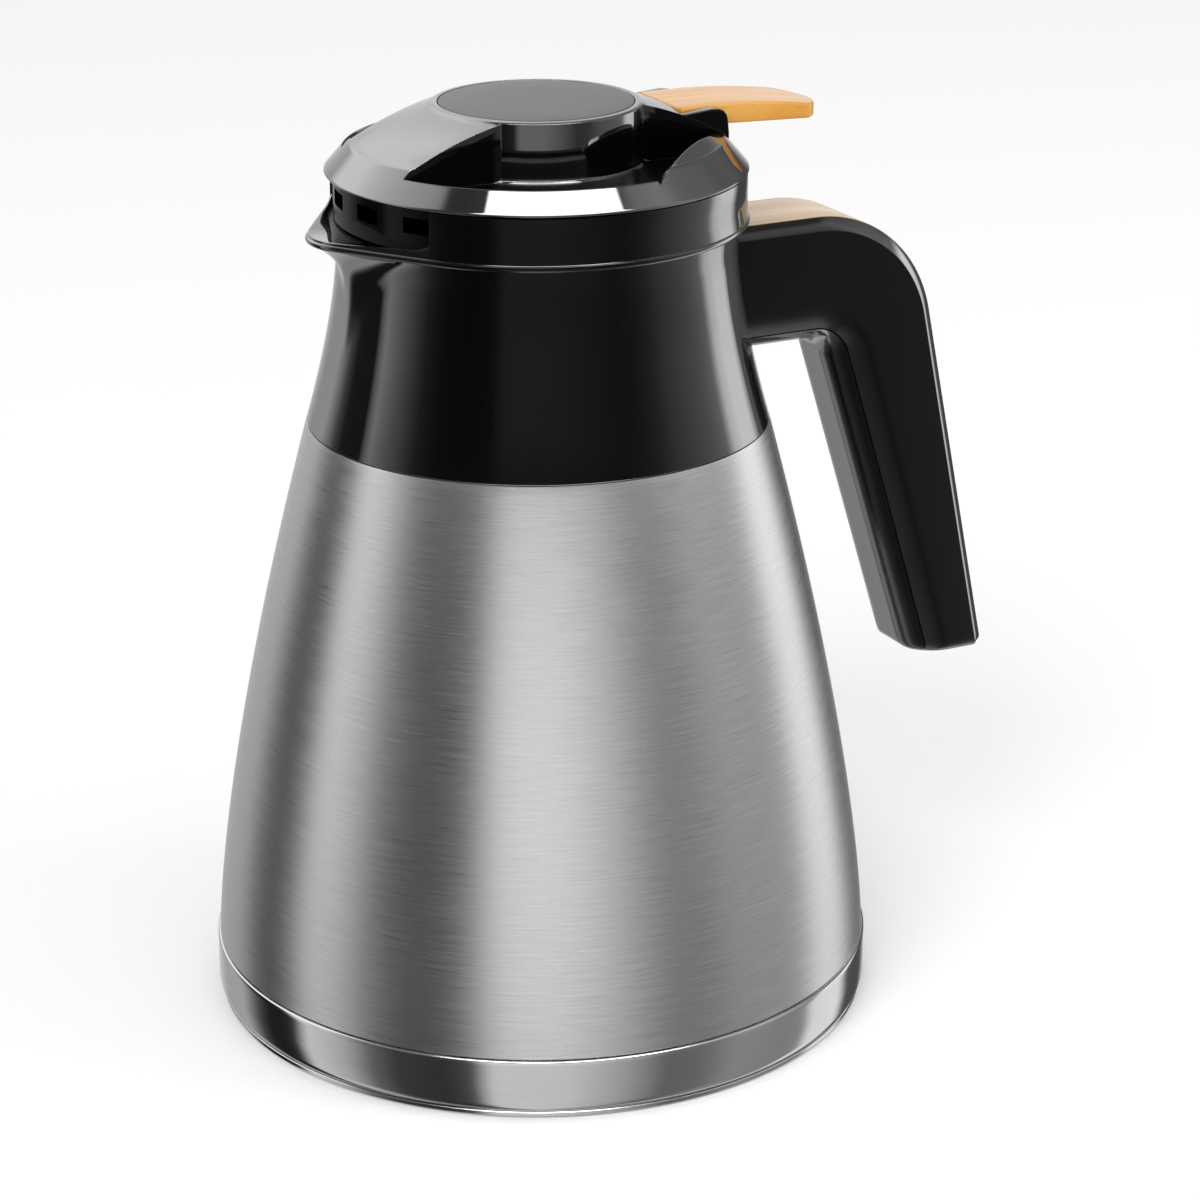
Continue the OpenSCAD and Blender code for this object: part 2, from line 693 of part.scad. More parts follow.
// Black lid with two finger recesses, the hub and the lever bracket
module lid_shell() {
    color("black") difference() {
        union() {
            difference() {
                rotate_extrude() lid_section();
                for (side = [0, 1]) mirror([0, side, 0]) intersection() {
                    translate([0, 0, lid_low]) linear_extrude(2 * hub_h) recess_plan();
                    rotate_extrude() scoop_section();
                }
            }
            intersection() {
                translate([0, bracket_half, 0]) rotate([90, 0, 0])
                    linear_extrude(2 * bracket_half) bracket_side();
                difference() {
                    translate([0, 0, lid_low]) cylinder(r = 2 * lid_r, h = 2 * hub_h);
                    translate([0, 0, disc_seat]) cylinder(r = disc_r + 0.1, h = hub_h);
                }
            }
            translate([0, 0, lid_low]) cylinder(r = hub_in_r + e, h = hub_floor - lid_low);
        }
        translate([0, 0, hub_floor]) cylinder(r = hub_in_r, h = 2 * hub_h);
        translate([saddle_in, -pocket_half, pocket_floor]) cube([bracket_out, 2 * pocket_half, hub_h]);
        translate([saddle_in / 2, -passage_half, hub_floor + 0.8])
            cube([saddle_in / 2 + e, 2 * passage_half, passage_top - hub_floor - 0.8]);
        translate([pivot_x, pin_half + 0.1, pivot_h]) rotate([90, 0, 0])
            cylinder(r = pin_r + seat_gap, h = 2 * pin_half + 0.2);
        translate([0, 0, lid_low - 1]) cylinder(r = guide_r + 0.4, h = 10);
        for (i = [0:2]) rotate([0, 0, 60 + i * 120]) translate([lid_screw_r, 0, lid_low - 1])
            cylinder(r = lid_screw_d / 2 + 0.2, h = 10);
    }
}

// Satin disc set into the top of the hub
module lid_disc() {
    color("dimgray") translate([0, 0, hub_top - disc_t]) cylinder(r = disc_r, h = disc_t);
}

// Half section of the stopper: plug in the neck, flange and skirt in the collar
module stopper_section() {
    seal_low = stopper_low + 5;
    polygon([
        [valve_hole_r, stopper_low], [plug_r - 1, stopper_low], [plug_r, stopper_low + 1],
        [plug_r, seal_low], [plug_r - 0.7, seal_low], [plug_r - 0.7, seal_low + 4], [plug_r, seal_low + 4],
        [plug_r, skirt_low], [skirt_r - 0.4, skirt_low], [skirt_r, skirt_low + 0.4],
        [skirt_r, cap_top], [skirt_r - skirt_wall, cap_top], [skirt_r - skirt_wall, skirt_low + 1.8],
        [plug_r - stopper_wall, skirt_low + 1.2], [plug_r - stopper_wall, seat_h], [valve_hole_r + 1, seat_h],
        [valve_hole_r, seat_h - 0.8]]);
}

// Stopper body with the pour slots and the lugs that turn under the ledges
module stopper_body() {
    color("black") difference() {
        union() {
            rotate_extrude() stopper_section();
            for (i = [0:lug_count - 1])
                ring_piece(plug_r - 0.8, plug_r + lug_reach, flange_top + slip, ledge_low - slip,
                           i * 360 / lug_count, lug_span);
        }
        for (a = [-30, -10, 10, 30])
            ring_piece(skirt_r - skirt_wall - 1, skirt_r + 1, slot_low, cap_low - 0.4, 180 + a, slot_span);
    }
}

// Plate that closes the stopper's chamber and guides the valve stem
module stopper_cap() {
    color("black") difference() {
        union() {
            translate([0, 0, cap_low]) cylinder(r = skirt_r - skirt_wall - seat_gap, h = cap_t);
            translate([0, 0, cap_low]) cylinder(r = guide_r, h = cap_t + 2);
            for (i = [0:2]) rotate([0, 0, 60 + i * 120]) translate([lid_screw_r, 0, cap_low - 5])
                cylinder(r = boss_r, h = 5 + cap_t);
        }
        translate([0, 0, cap_low - 1]) cylinder(r = stem_r + run_gap, h = 10);
        translate([0, 0, cap_low - e]) difference() {
            cylinder(r = coil_r + 1.2, h = groove_d + e);
            translate([0, 0, -1]) cylinder(r = coil_r - 1.2, h = 3);
        }
        translate([0, 0, cap_top + 0.8]) cylinder(r = stem_r + 1.4, h = 4);
        for (i = [0:2]) rotate([0, 0, 60 + i * 120]) translate([lid_screw_r, 0, cap_low - 4])
            cylinder(r = lid_screw_d / 2 - 0.2, h = 10);
    }
}

// Silicone seal between the stopper and the flask's neck
module stopper_gasket() {
    low = stopper_low + 5.1;
    lip_r = mouth_in_r - slip;
    color("white") rotate_extrude() polygon([
        [plug_r - 0.6, low], [plug_r + 0.3, low], [lip_r, low + 1.2], [lip_r, low + 2.4],
        [plug_r + 0.3, low + 3.8], [plug_r - 0.6, low + 3.8]]);
}

// Small ring that seals the stem in its guide
module stem_seal() {
    color("white") ring(stem_r + run_gap, stem_r + 1.3, cap_top + 0.8, cap_top + 1.9);
}

// Screws that hold the lid shell to the stopper's cap, under the disc
module lid_screws() {
    color("gray") for (i = [0:2]) rotate([0, 0, 60 + i * 120]) translate([lid_screw_r, 0, hub_floor]) {
        difference() {
            cylinder(r = lid_head_r, h = lid_head_t);
            for (a = [0, 90]) rotate([0, 0, a])
                translate([-1.6, -0.35, lid_head_t - 0.8]) cube([3.2, 0.7, 1]);
        }
        translate([0, 0, -7]) cylinder(r = lid_screw_d / 2 - 0.25, h = 7 + e);
    }
}

// Steel pin of the thumb lever, hidden in the bracket's cheeks
module lever_pin() {
    color("silver") translate([pivot_x, pin_half, pivot_h]) rotate([90, 0, 0])
        cylinder(r = pin_r, h = 2 * pin_half);
}

// Outline of the thumb lever seen from above
module lever_plan(inset) {
    half = lever_w / 2 - inset;
    end_c = lever_tip - lever_end_r;
    intersection() {
        translate([lever_start + inset, -half]) square([lever_tip, 2 * half]);
        union() {
            translate([lever_start + inset, -half]) square([end_c - lever_start - inset, 2 * half]);
            translate([end_c, 0]) circle(r = lever_end_r - inset);
        }
    }
}

// Side view of the thumb lever: a nearly flat back that falls towards the tip
module lever_side() {
    flat_end = pivot_x + 7.5;
    polygon(concat(
        [[lever_start, lever_low + 0.4], [lever_start, lever_top - 0.4], [lever_start + 0.5, lever_top]],
        [for (t = [0:0.1:1]) let (x = flat_end + (lever_tip - flat_end) * t)
            [x, lever_top - 2.9 * pow(t, 1.7)]],
        [[lever_tip, lever_low - 1.2], [lever_tip - 10, lever_low - 1], [flat_end, lever_low]]));
}

// Amber wood-look thumb piece
module thumb_lever() {
    color("orange") difference() {
        intersection() {
            translate([0, 0, lever_low - lever_w]) linear_extrude(2 * lever_w) lever_plan(0);
            translate([0, lever_w, 0]) rotate([90, 0, 0]) linear_extrude(2 * lever_w) lever_side();
        }
        translate([lever_start + 1, -plate_half - seat_gap, lever_low + 1.6 - 4])
            cube([pivot_x + plate_l + seat_gap - lever_start - 1, 2 * (plate_half + seat_gap), 4]);
        translate([pivot_x, lever_w, pivot_h]) rotate([90, 0, 0])
            cylinder(r = barrel_r + 0.1, h = 2 * lever_w);
        translate([lever_start - 1, -passage_half, lever_low - 2]) cube([4, 2 * passage_half, 3.6]);
    }
}

// Side view of the rocker arm from the barrel down to the fork
module arm_side() {
    fork_end = -stem_r;
    fork_root = stem_r + 3.5;
    polygon([[pivot_x, pivot_h + 1.6], [pivot_x - 3.5, pivot_h + 0.8], [pivot_x - 10.5, pivot_h - 0.4],
             [pivot_x - 22.5, pad_h + 2.2], [fork_root, pad_h + 1], [fork_end, pad_h + 1],
             [fork_end, pad_h - 1], [fork_root, pad_h - 1.1], [pivot_x - 20.5, pad_h - 0.6],
             [pivot_x - 9.5, pivot_h - 3], [pivot_x, pivot_h - 1.8]]);
}

// Black rocker arm: plate under the thumb piece, barrel on the pin and fork under the stem's nut
module lever_arm() {
    color("dimgray") difference() {
        union() {
            translate([pivot_x, barrel_half, pivot_h]) rotate([90, 0, 0])
                cylinder(r = barrel_r, h = 2 * barrel_half);
            translate([0, fork_half, 0]) rotate([90, 0, 0]) linear_extrude(2 * fork_half) arm_side();
            translate([pivot_x, -plate_half, lever_low + 1.6 - plate_t])
                cube([plate_l, 2 * plate_half, plate_t]);
            translate([0, fork_half, pad_h]) rotate([90, 0, 0]) cylinder(r = pad_r, h = 2 * fork_half);
        }
        translate([pivot_x, lever_w, pivot_h]) rotate([90, 0, 0]) cylinder(r = pin_r + run_gap, h = 2 * lever_w);
        translate([-6, -fork_gap, pad_h - 3]) cube([6 + 5, 2 * fork_gap, 6]);
        translate([5, 0, pad_h - 3]) cylinder(r = fork_gap, h = 6);
    }
}

// Steel stem that carries the valve
module valve_stem() {
    color("silver") {
        translate([0, 0, seat_h - 1]) cylinder(r = stem_r, h = nut_low - seat_h + 1);
        translate([0, 0, nut_low - e]) cylinder(r = stem_r - 0.6, h = nut_t - 0.2);
    }
}

// Nut on top of the stem that the fork lifts
module stem_nut() {
    color("gray") translate([0, 0, nut_low]) difference() {
        cylinder(r = 6, h = nut_t);
        translate([0, 0, -e]) cylinder(r = stem_r - 0.6 + run_gap, h = nut_t + 1);
    }
}

// Valve disc with its four guide fins in the valve opening
module valve_plug() {
    color("dimgray") difference() {
        union() {
            translate([0, 0, seat_h + washer_t]) cylinder(r = valve_r - 1, h = plug_t);
            translate([0, 0, seat_h - 3]) cylinder(r = stem_r + 1.4, h = plug_t + washer_t + 3);
            intersection() {
                for (a = [0, 90]) rotate([0, 0, a])
                    translate([-valve_hole_r, -0.8, seat_h - 3])
                        cube([2 * valve_hole_r, 1.6, 3 + washer_t + 1]);
                translate([0, 0, seat_h - 5]) cylinder(r = valve_hole_r - slip, h = 9);
            }
        }
        translate([0, 0, seat_h - 4]) cylinder(r = stem_r + run_gap, h = 12);
    }
}

// Silicone washer under the valve disc
module valve_washer() {
    color("white") ring(valve_hole_r - slip + run_gap, valve_r, seat_h + seat_gap / 2, seat_h + washer_t);
}

// Coil spring that closes the valve, as a round wire swept along a helix
module valve_spring() {
    sides = 8;
    per_turn = 20;
    count = coil_turns * per_turn;
    rise = spring_top - spring_low - wire_d - 2 * seat_gap;
    wire = wire_d / 2;
    points = [for (k = [0:count])
        let (a = 360 * k / per_turn, z = spring_low + seat_gap + wire + rise * k / count)
        for (s = [0:sides - 1]) let (b = 360 * s / sides)
            [(coil_r + wire * cos(b)) * cos(a), (coil_r + wire * cos(b)) * sin(a), z + wire * sin(b)]];
    skin = [for (k = [0:count - 1]) for (s = [0:sides - 1])
        let (a = k * sides + s, b = k * sides + (s + 1) % sides)
        each [[a, a + sides, b + sides], [a, b + sides, b]]];
    color("silver") polyhedron(points, concat([[for (s = [0:sides - 1]) s]], skin,
        [[for (s = [sides - 1:-1:0]) count * sides + s]]));
}

outer_shell();
inner_flask();
vacuum_plate();
getter_disc();
vacuum_seal();
base_cup();
foot_ring();
collar();
neck_gasket();
neck_ring();
handle_shell();
handle_cover();
handle_inlay();
handle_screws();
lid_shell();
lid_disc();
stopper_body();
stopper_cap();
stopper_gasket();
stem_seal();
lid_screws();
lever_pin();
thumb_lever();
lever_arm();
valve_stem();
stem_nut();
valve_plug();
valve_washer();
valve_spring();
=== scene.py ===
import math

import bmesh
import bpy
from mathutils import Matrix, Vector


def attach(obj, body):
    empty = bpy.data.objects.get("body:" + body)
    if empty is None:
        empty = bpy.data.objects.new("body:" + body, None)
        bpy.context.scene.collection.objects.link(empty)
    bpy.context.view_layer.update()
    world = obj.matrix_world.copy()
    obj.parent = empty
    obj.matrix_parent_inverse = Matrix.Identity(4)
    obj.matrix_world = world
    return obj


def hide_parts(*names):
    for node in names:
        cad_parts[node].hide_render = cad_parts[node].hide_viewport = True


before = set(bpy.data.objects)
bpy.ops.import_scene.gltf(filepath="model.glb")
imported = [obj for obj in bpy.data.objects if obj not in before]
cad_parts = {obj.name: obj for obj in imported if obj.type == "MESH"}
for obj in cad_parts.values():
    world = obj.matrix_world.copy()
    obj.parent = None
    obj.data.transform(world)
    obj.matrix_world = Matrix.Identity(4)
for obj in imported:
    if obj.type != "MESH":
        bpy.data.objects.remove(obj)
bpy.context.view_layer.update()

# Sizes are in millimetres and MM turns them into metres. Angles are in degrees where named so.
MM = 0.001
PER_METRE = 1000.0

# ---------------------------------------------------------------- sizes shared with the CAD model
BODY_R, SEAM_R, SEAM_H, BASE_H = 79.4, 54.6, 144.2, 14.6
BELLY_POWER = 1.41
WAIST_R, WAIST_H, COLLAR_TOP = 46.7, 185.0, 203.5
MOUTH_R, BEAD_H = 48.75, 192.2
SPOUT_REACH, SPOUT_TIP_R, FLARE_TIP_R = 56.2, 14.0, 11.0
TROUGH_H, LIP_H, LIP_DROOP = 192.8, 1.6, 4.5
WINDOW_HALF = 35
NECK_R, RIM_H, SHELL_WALL = 41.5, 182.5, 0.8
BORE_R, CHANNEL_R, FLANGE_IN_R = 44.4, 40.4, 37.2
HANDLE_TOP, ARM_LOW = 186.4, 155.0
GRIP_IN_TOP, GRIP_IN_LOW, GRIP_OUT_TOP, GRIP_OUT_LOW = 74.4, 99.6, 101.8, 120.0
GRIP_LOW, BEND_OUT, BEND_IN = 69.5, 33.0, 6.0
HALF_W, FACE_HALF, BEVEL, ROUND = 13.3, 10.6, 2.9, 10.0
INLAY_END = 9.0
LID_LOW, LID_R, CHAMFER_R = 203.7, 49.0, 43.0
HUB_R, HUB_TOP, DISC_R = 24.6, 219.3, 22.6


def body_at(z):
    """Radius of the steel body at height z."""
    t = max(0.0, z - BASE_H) / (SEAM_H - BASE_H)
    return BODY_R - (BODY_R - SEAM_R) * t ** BELLY_POWER


def collar_at(z):
    """Radius of the collar at height z, away from the spout."""
    return WAIST_R + (SEAM_R - WAIST_R) / (WAIST_H - SEAM_H) ** 1.5 * abs(z - WAIST_H) ** 1.5


# ---------------------------------------------------------------- modelling helpers
def clear_selection():
    if bpy.context.object and bpy.context.object.mode != "OBJECT":
        bpy.ops.object.mode_set(mode="OBJECT")
    bpy.ops.object.select_all(action="DESELECT")


def start_outline(name, points, fill):
    """A circle primitive pulled into the given outline, left in edit mode, all selected."""
    clear_selection()
    bpy.ops.mesh.primitive_circle_add(vertices=len(points), radius=0.01, fill_type=fill)
    piece = bpy.context.object
    piece.name = piece.data.name = name
    bpy.ops.object.mode_set(mode="EDIT")
    mesh = bmesh.from_edit_mesh(piece.data)
    order = mesh.verts.layers.int.new("order")
    along = mesh.verts.layers.float.new("along")
    mesh.verts.ensure_lookup_table()
    for i, vert in enumerate(mesh.verts):
        vert[order] = i
        vert[along] = 0.0
        vert.co = Vector(points[i]) * MM
    bmesh.update_edit_mesh(piece.data)
    return piece


def close_up(angle=35.0, merge=0.000002, thin=0.000002):
    """Close vertices of the piece in edit mode merged, normals outward, smooth below the angle."""
    bpy.ops.mesh.select_all(action="SELECT")
    bpy.ops.mesh.remove_doubles(threshold=merge)
    bpy.ops.mesh.dissolve_degenerate(threshold=thin)
    bpy.ops.mesh.select_all(action="SELECT")
    bpy.ops.mesh.normals_make_consistent(inside=False)
    bpy.ops.object.mode_set(mode="OBJECT")
    bpy.ops.object.shade_smooth_by_angle(angle=math.radians(angle))


def loft(name, rings, distances=None, angle=35.0):
    """Solid through a row of rings, each with the same number of points."""
    piece = start_outline(name, rings[0], "NGON")
    for k, ring in enumerate(rings[1:], 1):
        bpy.ops.mesh.extrude_region_move()
        mesh = bmesh.from_edit_mesh(piece.data)
        order = mesh.verts.layers.int["order"]
        along = mesh.verts.layers.float["along"]
        for vert in mesh.verts:
            if vert.select:
                vert.co = Vector(ring[vert[order]]) * MM
                vert[along] = (distances[k] if distances else k) * MM
        bmesh.update_edit_mesh(piece.data)
    close_up(angle)
    return piece


def lathe(name, profile, steps=256, angle=35.0, place=None):
    """Closed outline of (radius, height) pairs spun round the carafe's axis."""
    piece = start_outline(name, [(r, 0.0, z) for r, z in profile], "NOTHING")
    bpy.ops.mesh.select_all(action="SELECT")
    bpy.ops.mesh.spin(steps=steps, angle=math.tau, center=(0, 0, 0), axis=(0, 0, 1))
    if place:
        bpy.ops.object.mode_set(mode="OBJECT")
        order = piece.data.attributes["order"].data
        for i, vert in enumerate(piece.data.vertices):
            theta = math.degrees(math.atan2(vert.co.y, vert.co.x))
            r, z, theta = place(order[i].value, theta)
            turn = math.radians(theta)
            vert.co = Vector((r * math.cos(turn), r * math.sin(turn), z)) * MM
        bpy.ops.object.mode_set(mode="EDIT")
    close_up(angle)
    return piece


def finish_piece(piece, body, material, nodes):
    piece.data.materials.clear()
    piece.data.materials.append(material)
    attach(piece, body)
    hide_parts(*nodes)


def paint(node, material):
    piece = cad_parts[node]
    piece.data.materials.clear()
    piece.data.materials.append(material)
    for face in piece.data.polygons:
        face.material_index = 0


# ---------------------------------------------------------------- shader maths
class Socket:
    """An output socket that can be used in Python expressions."""

    def __init__(self, tree, out):
        self.tree = tree
        self.out = out

    def maths(self, operation, *values):
        node = self.tree.nodes.new("ShaderNodeMath")
        node.operation = operation
        for i, value in enumerate(values):
            if isinstance(value, Socket):
                self.tree.links.new(value.out, node.inputs[i])
            else:
                node.inputs[i].default_value = value
        return Socket(self.tree, node.outputs[0])

    def __add__(self, other):
        return self.maths("ADD", self, other)

    def __radd__(self, other):
        return self.maths("ADD", other, self)

    def __sub__(self, other):
        return self.maths("SUBTRACT", self, other)

    def __rsub__(self, other):
        return self.maths("SUBTRACT", other, self)

    def __mul__(self, other):
        return self.maths("MULTIPLY", self, other)

    def __rmul__(self, other):
        return self.maths("MULTIPLY", other, self)

    def __truediv__(self, other):
        return self.maths("DIVIDE", self, other)

    def __pow__(self, other):
        return self.maths("POWER", self, other)

    def clamp(self):
        return self.maths("MINIMUM", self.maths("MAXIMUM", self, 0.0), 1.0)

    def band(self, low, high):
        """0 below low, 1 above high, smooth between."""
        t = ((self - low) * (1.0 / (high - low))).clamp()
        return t * t * (3.0 - 2.0 * t)

    def window(self, rise, fall):
        """1 between the two bands (low, high), 0 outside them."""
        return self.band(*rise) * (1.0 - self.band(*fall))


class Tree:
    """A node tree under construction."""

    def __init__(self, tree):
        self.tree = tree
        tree.nodes.clear()

    def node(self, kind, settings=None, out=0, **values):
        made = self.tree.nodes.new(kind)
        for key, value in (settings or {}).items():
            if key == "stops":
                ramp = made.color_ramp
                while len(ramp.elements) < len(value):
                    ramp.elements.new(0.5)
                for element, (place, colour) in zip(ramp.elements, value):
                    element.position = place
                    element.color = colour
            elif key == "interpolation":
                made.color_ramp.interpolation = value
            else:
                setattr(made, key, value)
        for key, value in values.items():
            name = key.replace("_", " ")
            found = [s for s in made.inputs if s.enabled and s.name.lower() == name.lower()]
            if not found:
                found = [s for s in made.inputs if s.identifier.lower() == key.lower()]
            if isinstance(value, Socket):
                self.tree.links.new(value.out, found[0])
            else:
                found[0].default_value = value
        return Socket(self.tree, made.outputs[out]) if len(made.outputs) else None

    def split(self, vector):
        made = self.tree.nodes.new("ShaderNodeSeparateXYZ")
        self.tree.links.new(vector.out, made.inputs[0])
        return [Socket(self.tree, made.outputs[i]) for i in range(3)]

    def join(self, x, y, z):
        return self.node("ShaderNodeCombineXYZ", X=x, Y=y, Z=z)

    def blend(self, amount, first, second):
        return self.node("ShaderNodeMix", {"data_type": "RGBA"}, out=2,
                         Factor_Float=amount, A_Color=first, B_Color=second)

    def noise(self, vector, scale, detail=2.0, roughness=0.5):
        return self.node("ShaderNodeTexNoise", Vector=vector, Scale=scale, Detail=detail,
                         Roughness=roughness)

    def place(self):
        """Object coordinates, in metres."""
        return self.node("ShaderNodeTexCoord", out=3)

    def ray(self, kind):
        """1 for rays of the given kind, 0 for all others."""
        return self.node("ShaderNodeLightPath", out="Is %s Ray" % kind)


def grey(value):
    return (value, value, value, 1.0)


def shaded(tint, factor=1.0):
    """The tint made darker or lighter, as an RGBA colour."""
    return tuple(min(1.0, c * factor) for c in tint) + (1.0,)


def new_material(name):
    material = bpy.data.materials.new(name)
    material.use_nodes = True
    return material, Tree(material.node_tree)


def surface(tree, bump=None, bump_depth=0.1, edge=0.0, **values):
    """Principled shader with its output; edge rounds the look of sharp edges, in mm."""
    if edge:
        soft = tree.node("ShaderNodeBevel", {"samples": 6}, Radius=edge * MM)
        values["Normal"] = values["Coat_Normal"] = soft
    if bump is not None:
        values["Normal"] = tree.node("ShaderNodeBump", Height=bump, Strength=1.0,
                                     Distance=bump_depth * MM)
    shader = tree.node("ShaderNodeBsdfPrincipled", **values)
    tree.node("ShaderNodeOutputMaterial", Surface=shader)


def brushed_steel(name, tint, rough, streak, marks):
    """Steel whose brushing runs round the axis: long fine lines and short bright dashes."""
    material, tree = new_material(name)
    x, y, height = tree.split(tree.place())
    turn = x.maths("ARCTAN2", y, x)
    fine = tree.noise(tree.join(turn * 5.0, 0.0, height * 2300.0), 1.0, 4.0, 0.65)
    dash = tree.noise(tree.join(turn * 26.0, 0.0, height * 1700.0), 1.0, 2.0, 0.55)
    cloud = tree.noise(tree.place(), 22.0)
    grain = (fine - 0.5) * streak * 1.5 + dash.band(0.60, 0.76) * marks
    rub = (cloud - 0.5) * 0.05
    colour = tree.blend((grain + 0.5).clamp(), shaded(tint, 0.78), shaded(tint, 1.18))
    surface(tree, bump=fine * 0.6 + dash * 0.4, bump_depth=streak * 0.02,
            Base_Color=colour, Metallic=1.0, Roughness=(rough + grain * 0.10 + rub).clamp())
    return material


# The lid's painted shade: the coat's reflection is mostly taken off the finger recesses and
# the bracket's sides so that they look dark. A recess wall lies deep enough under a cone over
# the dome, between two radii. A bracket side lies behind CHEEK_X and between two distances from
# the middle.
CONE_H, CONE_SLOPE, SHADE_DEPTH = 219.6, 0.46, (1.7, 2.2)
SHADE_IN, SHADE_OUT = (25.0, 26.5), (44.7, 44.95)
CHEEK_X, CHEEK_IN, CHEEK_OUT = (23.0, 24.0), (13.2, 13.35), (13.6, 14.0)
SHADE_SHARE = 0.93


def lid_painted_shade(tree, place):
    """Painted shade mask: 1 on the finger recesses and the bracket's sides, 0 on the rest of the
    lid.
    """
    x, y, z = tree.split(place)
    radius = (x * x + y * y) ** 0.5 * PER_METRE
    below = (CONE_H - (radius - HUB_R) * CONE_SLOPE) - z * PER_METRE
    recess = below.band(*SHADE_DEPTH) * radius.window(SHADE_IN, SHADE_OUT)
    across = y.maths("ABSOLUTE", y) * PER_METRE
    cheek = (x * PER_METRE).band(*CHEEK_X) * across.window(CHEEK_IN, CHEEK_OUT)
    return recess.maths("MAXIMUM", recess, cheek)


def gloss_black(name, shade=0.001, front=0.014, rise=4.6, edge=0.0, recess=False):
    """Black moulding: a coat that shows little head on and much at a grazing angle."""
    material, tree = new_material(name)
    place = tree.place()
    smear = tree.noise(place, 38.0, 3.0, 0.55)
    specks = tree.noise(place, 900.0, 1.0, 0.5)
    facing = tree.node("ShaderNodeLayerWeight", out=1, Blend=0.5)
    sheen = (front + rise * facing ** 2.29) * (1.0 - smear.band(0.5, 0.75) * 0.12)
    # painted shade: the lid's recesses and the bracket's sides lose most of the coat's reflection
    if recess:
        sheen = sheen.clamp() * (1.0 - lid_painted_shade(tree, place) * SHADE_SHARE)
    colour = tree.blend(smear, (shade, shade, shade * 1.05, 1.0),
                        (shade * 1.5, shade * 1.5, shade * 1.6, 1.0))
    surface(tree, edge=edge, Base_Color=colour, Roughness=(0.25 + specks * 0.1).clamp(),
            Specular_IOR_Level=0.05, Coat_Weight=sheen.clamp(), Coat_Roughness=0.035,
            Coat_IOR=4.0)
    return material


def satin_black(name, shade=0.02, rough=0.38):
    material, tree = new_material(name)
    place = tree.place()
    sparkle = tree.noise(place, 2600.0, 2.0, 0.6)
    cloud = tree.noise(place, 45.0, 2.0, 0.5)
    colour = tree.blend(cloud, grey(shade), grey(shade * 1.6))
    surface(tree, bump=sparkle, bump_depth=0.03, Base_Color=colour,
            Roughness=(rough + (cloud - 0.5) * 0.12 + sparkle * 0.05).clamp())
    return material


def wood(name, pale, mid, deep, along_attribute, scale=1.0, rough=0.32, coat=0.35):
    """Wood look with rings, fibre and pores, along x or along the piece's own length."""
    material, tree = new_material(name)
    x, y, z = tree.split(tree.place())
    run = x
    if along_attribute:
        run = tree.node("ShaderNodeAttribute", {"attribute_name": "along"}, out=2)
    wander = tree.noise(tree.join(run * 30.0, y * 60.0, z * 20.0), 1.0, 2.0, 0.5)
    across = y * 330.0 * scale + (wander - 0.5) * 2.4
    fibre = tree.noise(tree.join(run * 26.0, y * 1500.0 * scale, z * 500.0), 1.0, 3.0, 0.6)
    rings = tree.noise(tree.join(run * 9.0 * scale, across * 0.9, z * 60.0), 1.0, 2.0, 0.5)
    pores = tree.noise(tree.join(run * 240.0, y * 4200.0, z * 900.0), 1.0, 1.0, 0.5)
    pores = pores.band(0.66, 0.74)
    tone = tree.blend(rings.band(0.34, 0.66), pale, mid)
    tone = tree.blend((fibre.band(0.5, 0.8) * 0.38).clamp(), tone, deep)
    tone = tree.blend(pores * 0.30, tone, deep)
    surface(tree, bump=fibre * 0.5 - pores * 0.6, bump_depth=0.02, Base_Color=tone,
            Roughness=(rough + fibre * 0.10 + pores * 0.18).clamp(), Coat_Weight=coat,
            Coat_Roughness=0.15, Coat_IOR=1.7)
    return material


def silicone(name, tint, rough=0.55):
    material, tree = new_material(name)
    place = tree.place()
    cloud = tree.noise(place, 90.0, 2.0, 0.5)
    dust = tree.noise(place, 1800.0, 1.0, 0.5)
    colour = tree.blend(cloud, shaded(tint, 0.9), shaded(tint))
    surface(tree, bump=dust, bump_depth=0.02, Base_Color=colour,
            Roughness=(rough + (dust - 0.5) * 0.2).clamp())
    return material


def satin_metal(name, tint, rough=0.30, grit=1.0):
    """Turned or drawn metal of the small parts and the lid's disc."""
    material, tree = new_material(name)
    place = tree.place()
    grain = tree.noise(place, 1400.0, 2.0, 0.6)
    cloud = tree.noise(place, 55.0, 2.0, 0.5)
    colour = tree.blend(cloud, shaded(tint, 0.88), shaded(tint))
    surface(tree, bump=grain, bump_depth=0.008 * grit, Base_Color=colour, Metallic=1.0,
            Roughness=(rough + (grain - 0.5) * 0.16 * grit).clamp())
    return material


body_steel = brushed_steel("brushed body steel", (0.66, 0.66, 0.655), 0.30, 1.0, 0.35)
base_steel = brushed_steel("polished base steel", (0.62, 0.62, 0.615), 0.12, 0.25, 0.05)
inner_steel = brushed_steel("drawn inner steel", (0.52, 0.52, 0.515), 0.35, 0.5, 0.1)
black_gloss = gloss_black("gloss black moulding")
# the lid's gloss carries painted shade on its recesses and on the bracket's sides
lid_gloss = gloss_black("gloss black lid", front=0.30, rise=3.6, edge=0.3, recess=True)
skirt_gloss = gloss_black("gloss black skirt", shade=0.0005, front=0.008, rise=0.2)
black_satin = satin_black("satin black moulding")
pale_wood = wood("pale honey wood", (0.74, 0.56, 0.36, 1), (0.62, 0.43, 0.25, 1),
                 (0.45, 0.28, 0.14, 1), True)
amber_wood = wood("amber wood", (0.78, 0.41, 0.07, 1), (0.68, 0.30, 0.035, 1),
                  (0.50, 0.17, 0.015, 1), False, scale=1.6, rough=0.28, coat=0.5)
white_silicone = silicone("white silicone", (0.80, 0.80, 0.78))
foot_silicone = silicone("grey foot silicone", (0.50, 0.50, 0.49), 0.6)
disc_metal = satin_metal("satin disc metal", (0.115, 0.115, 0.12), 0.34, grit=0.25)
small_steel = satin_metal("small steel parts", (0.55, 0.55, 0.55), 0.28)
getter_grey = satin_black("getter grey", 0.18, 0.6)
braze = satin_metal("braze", (0.55, 0.40, 0.18), 0.4)

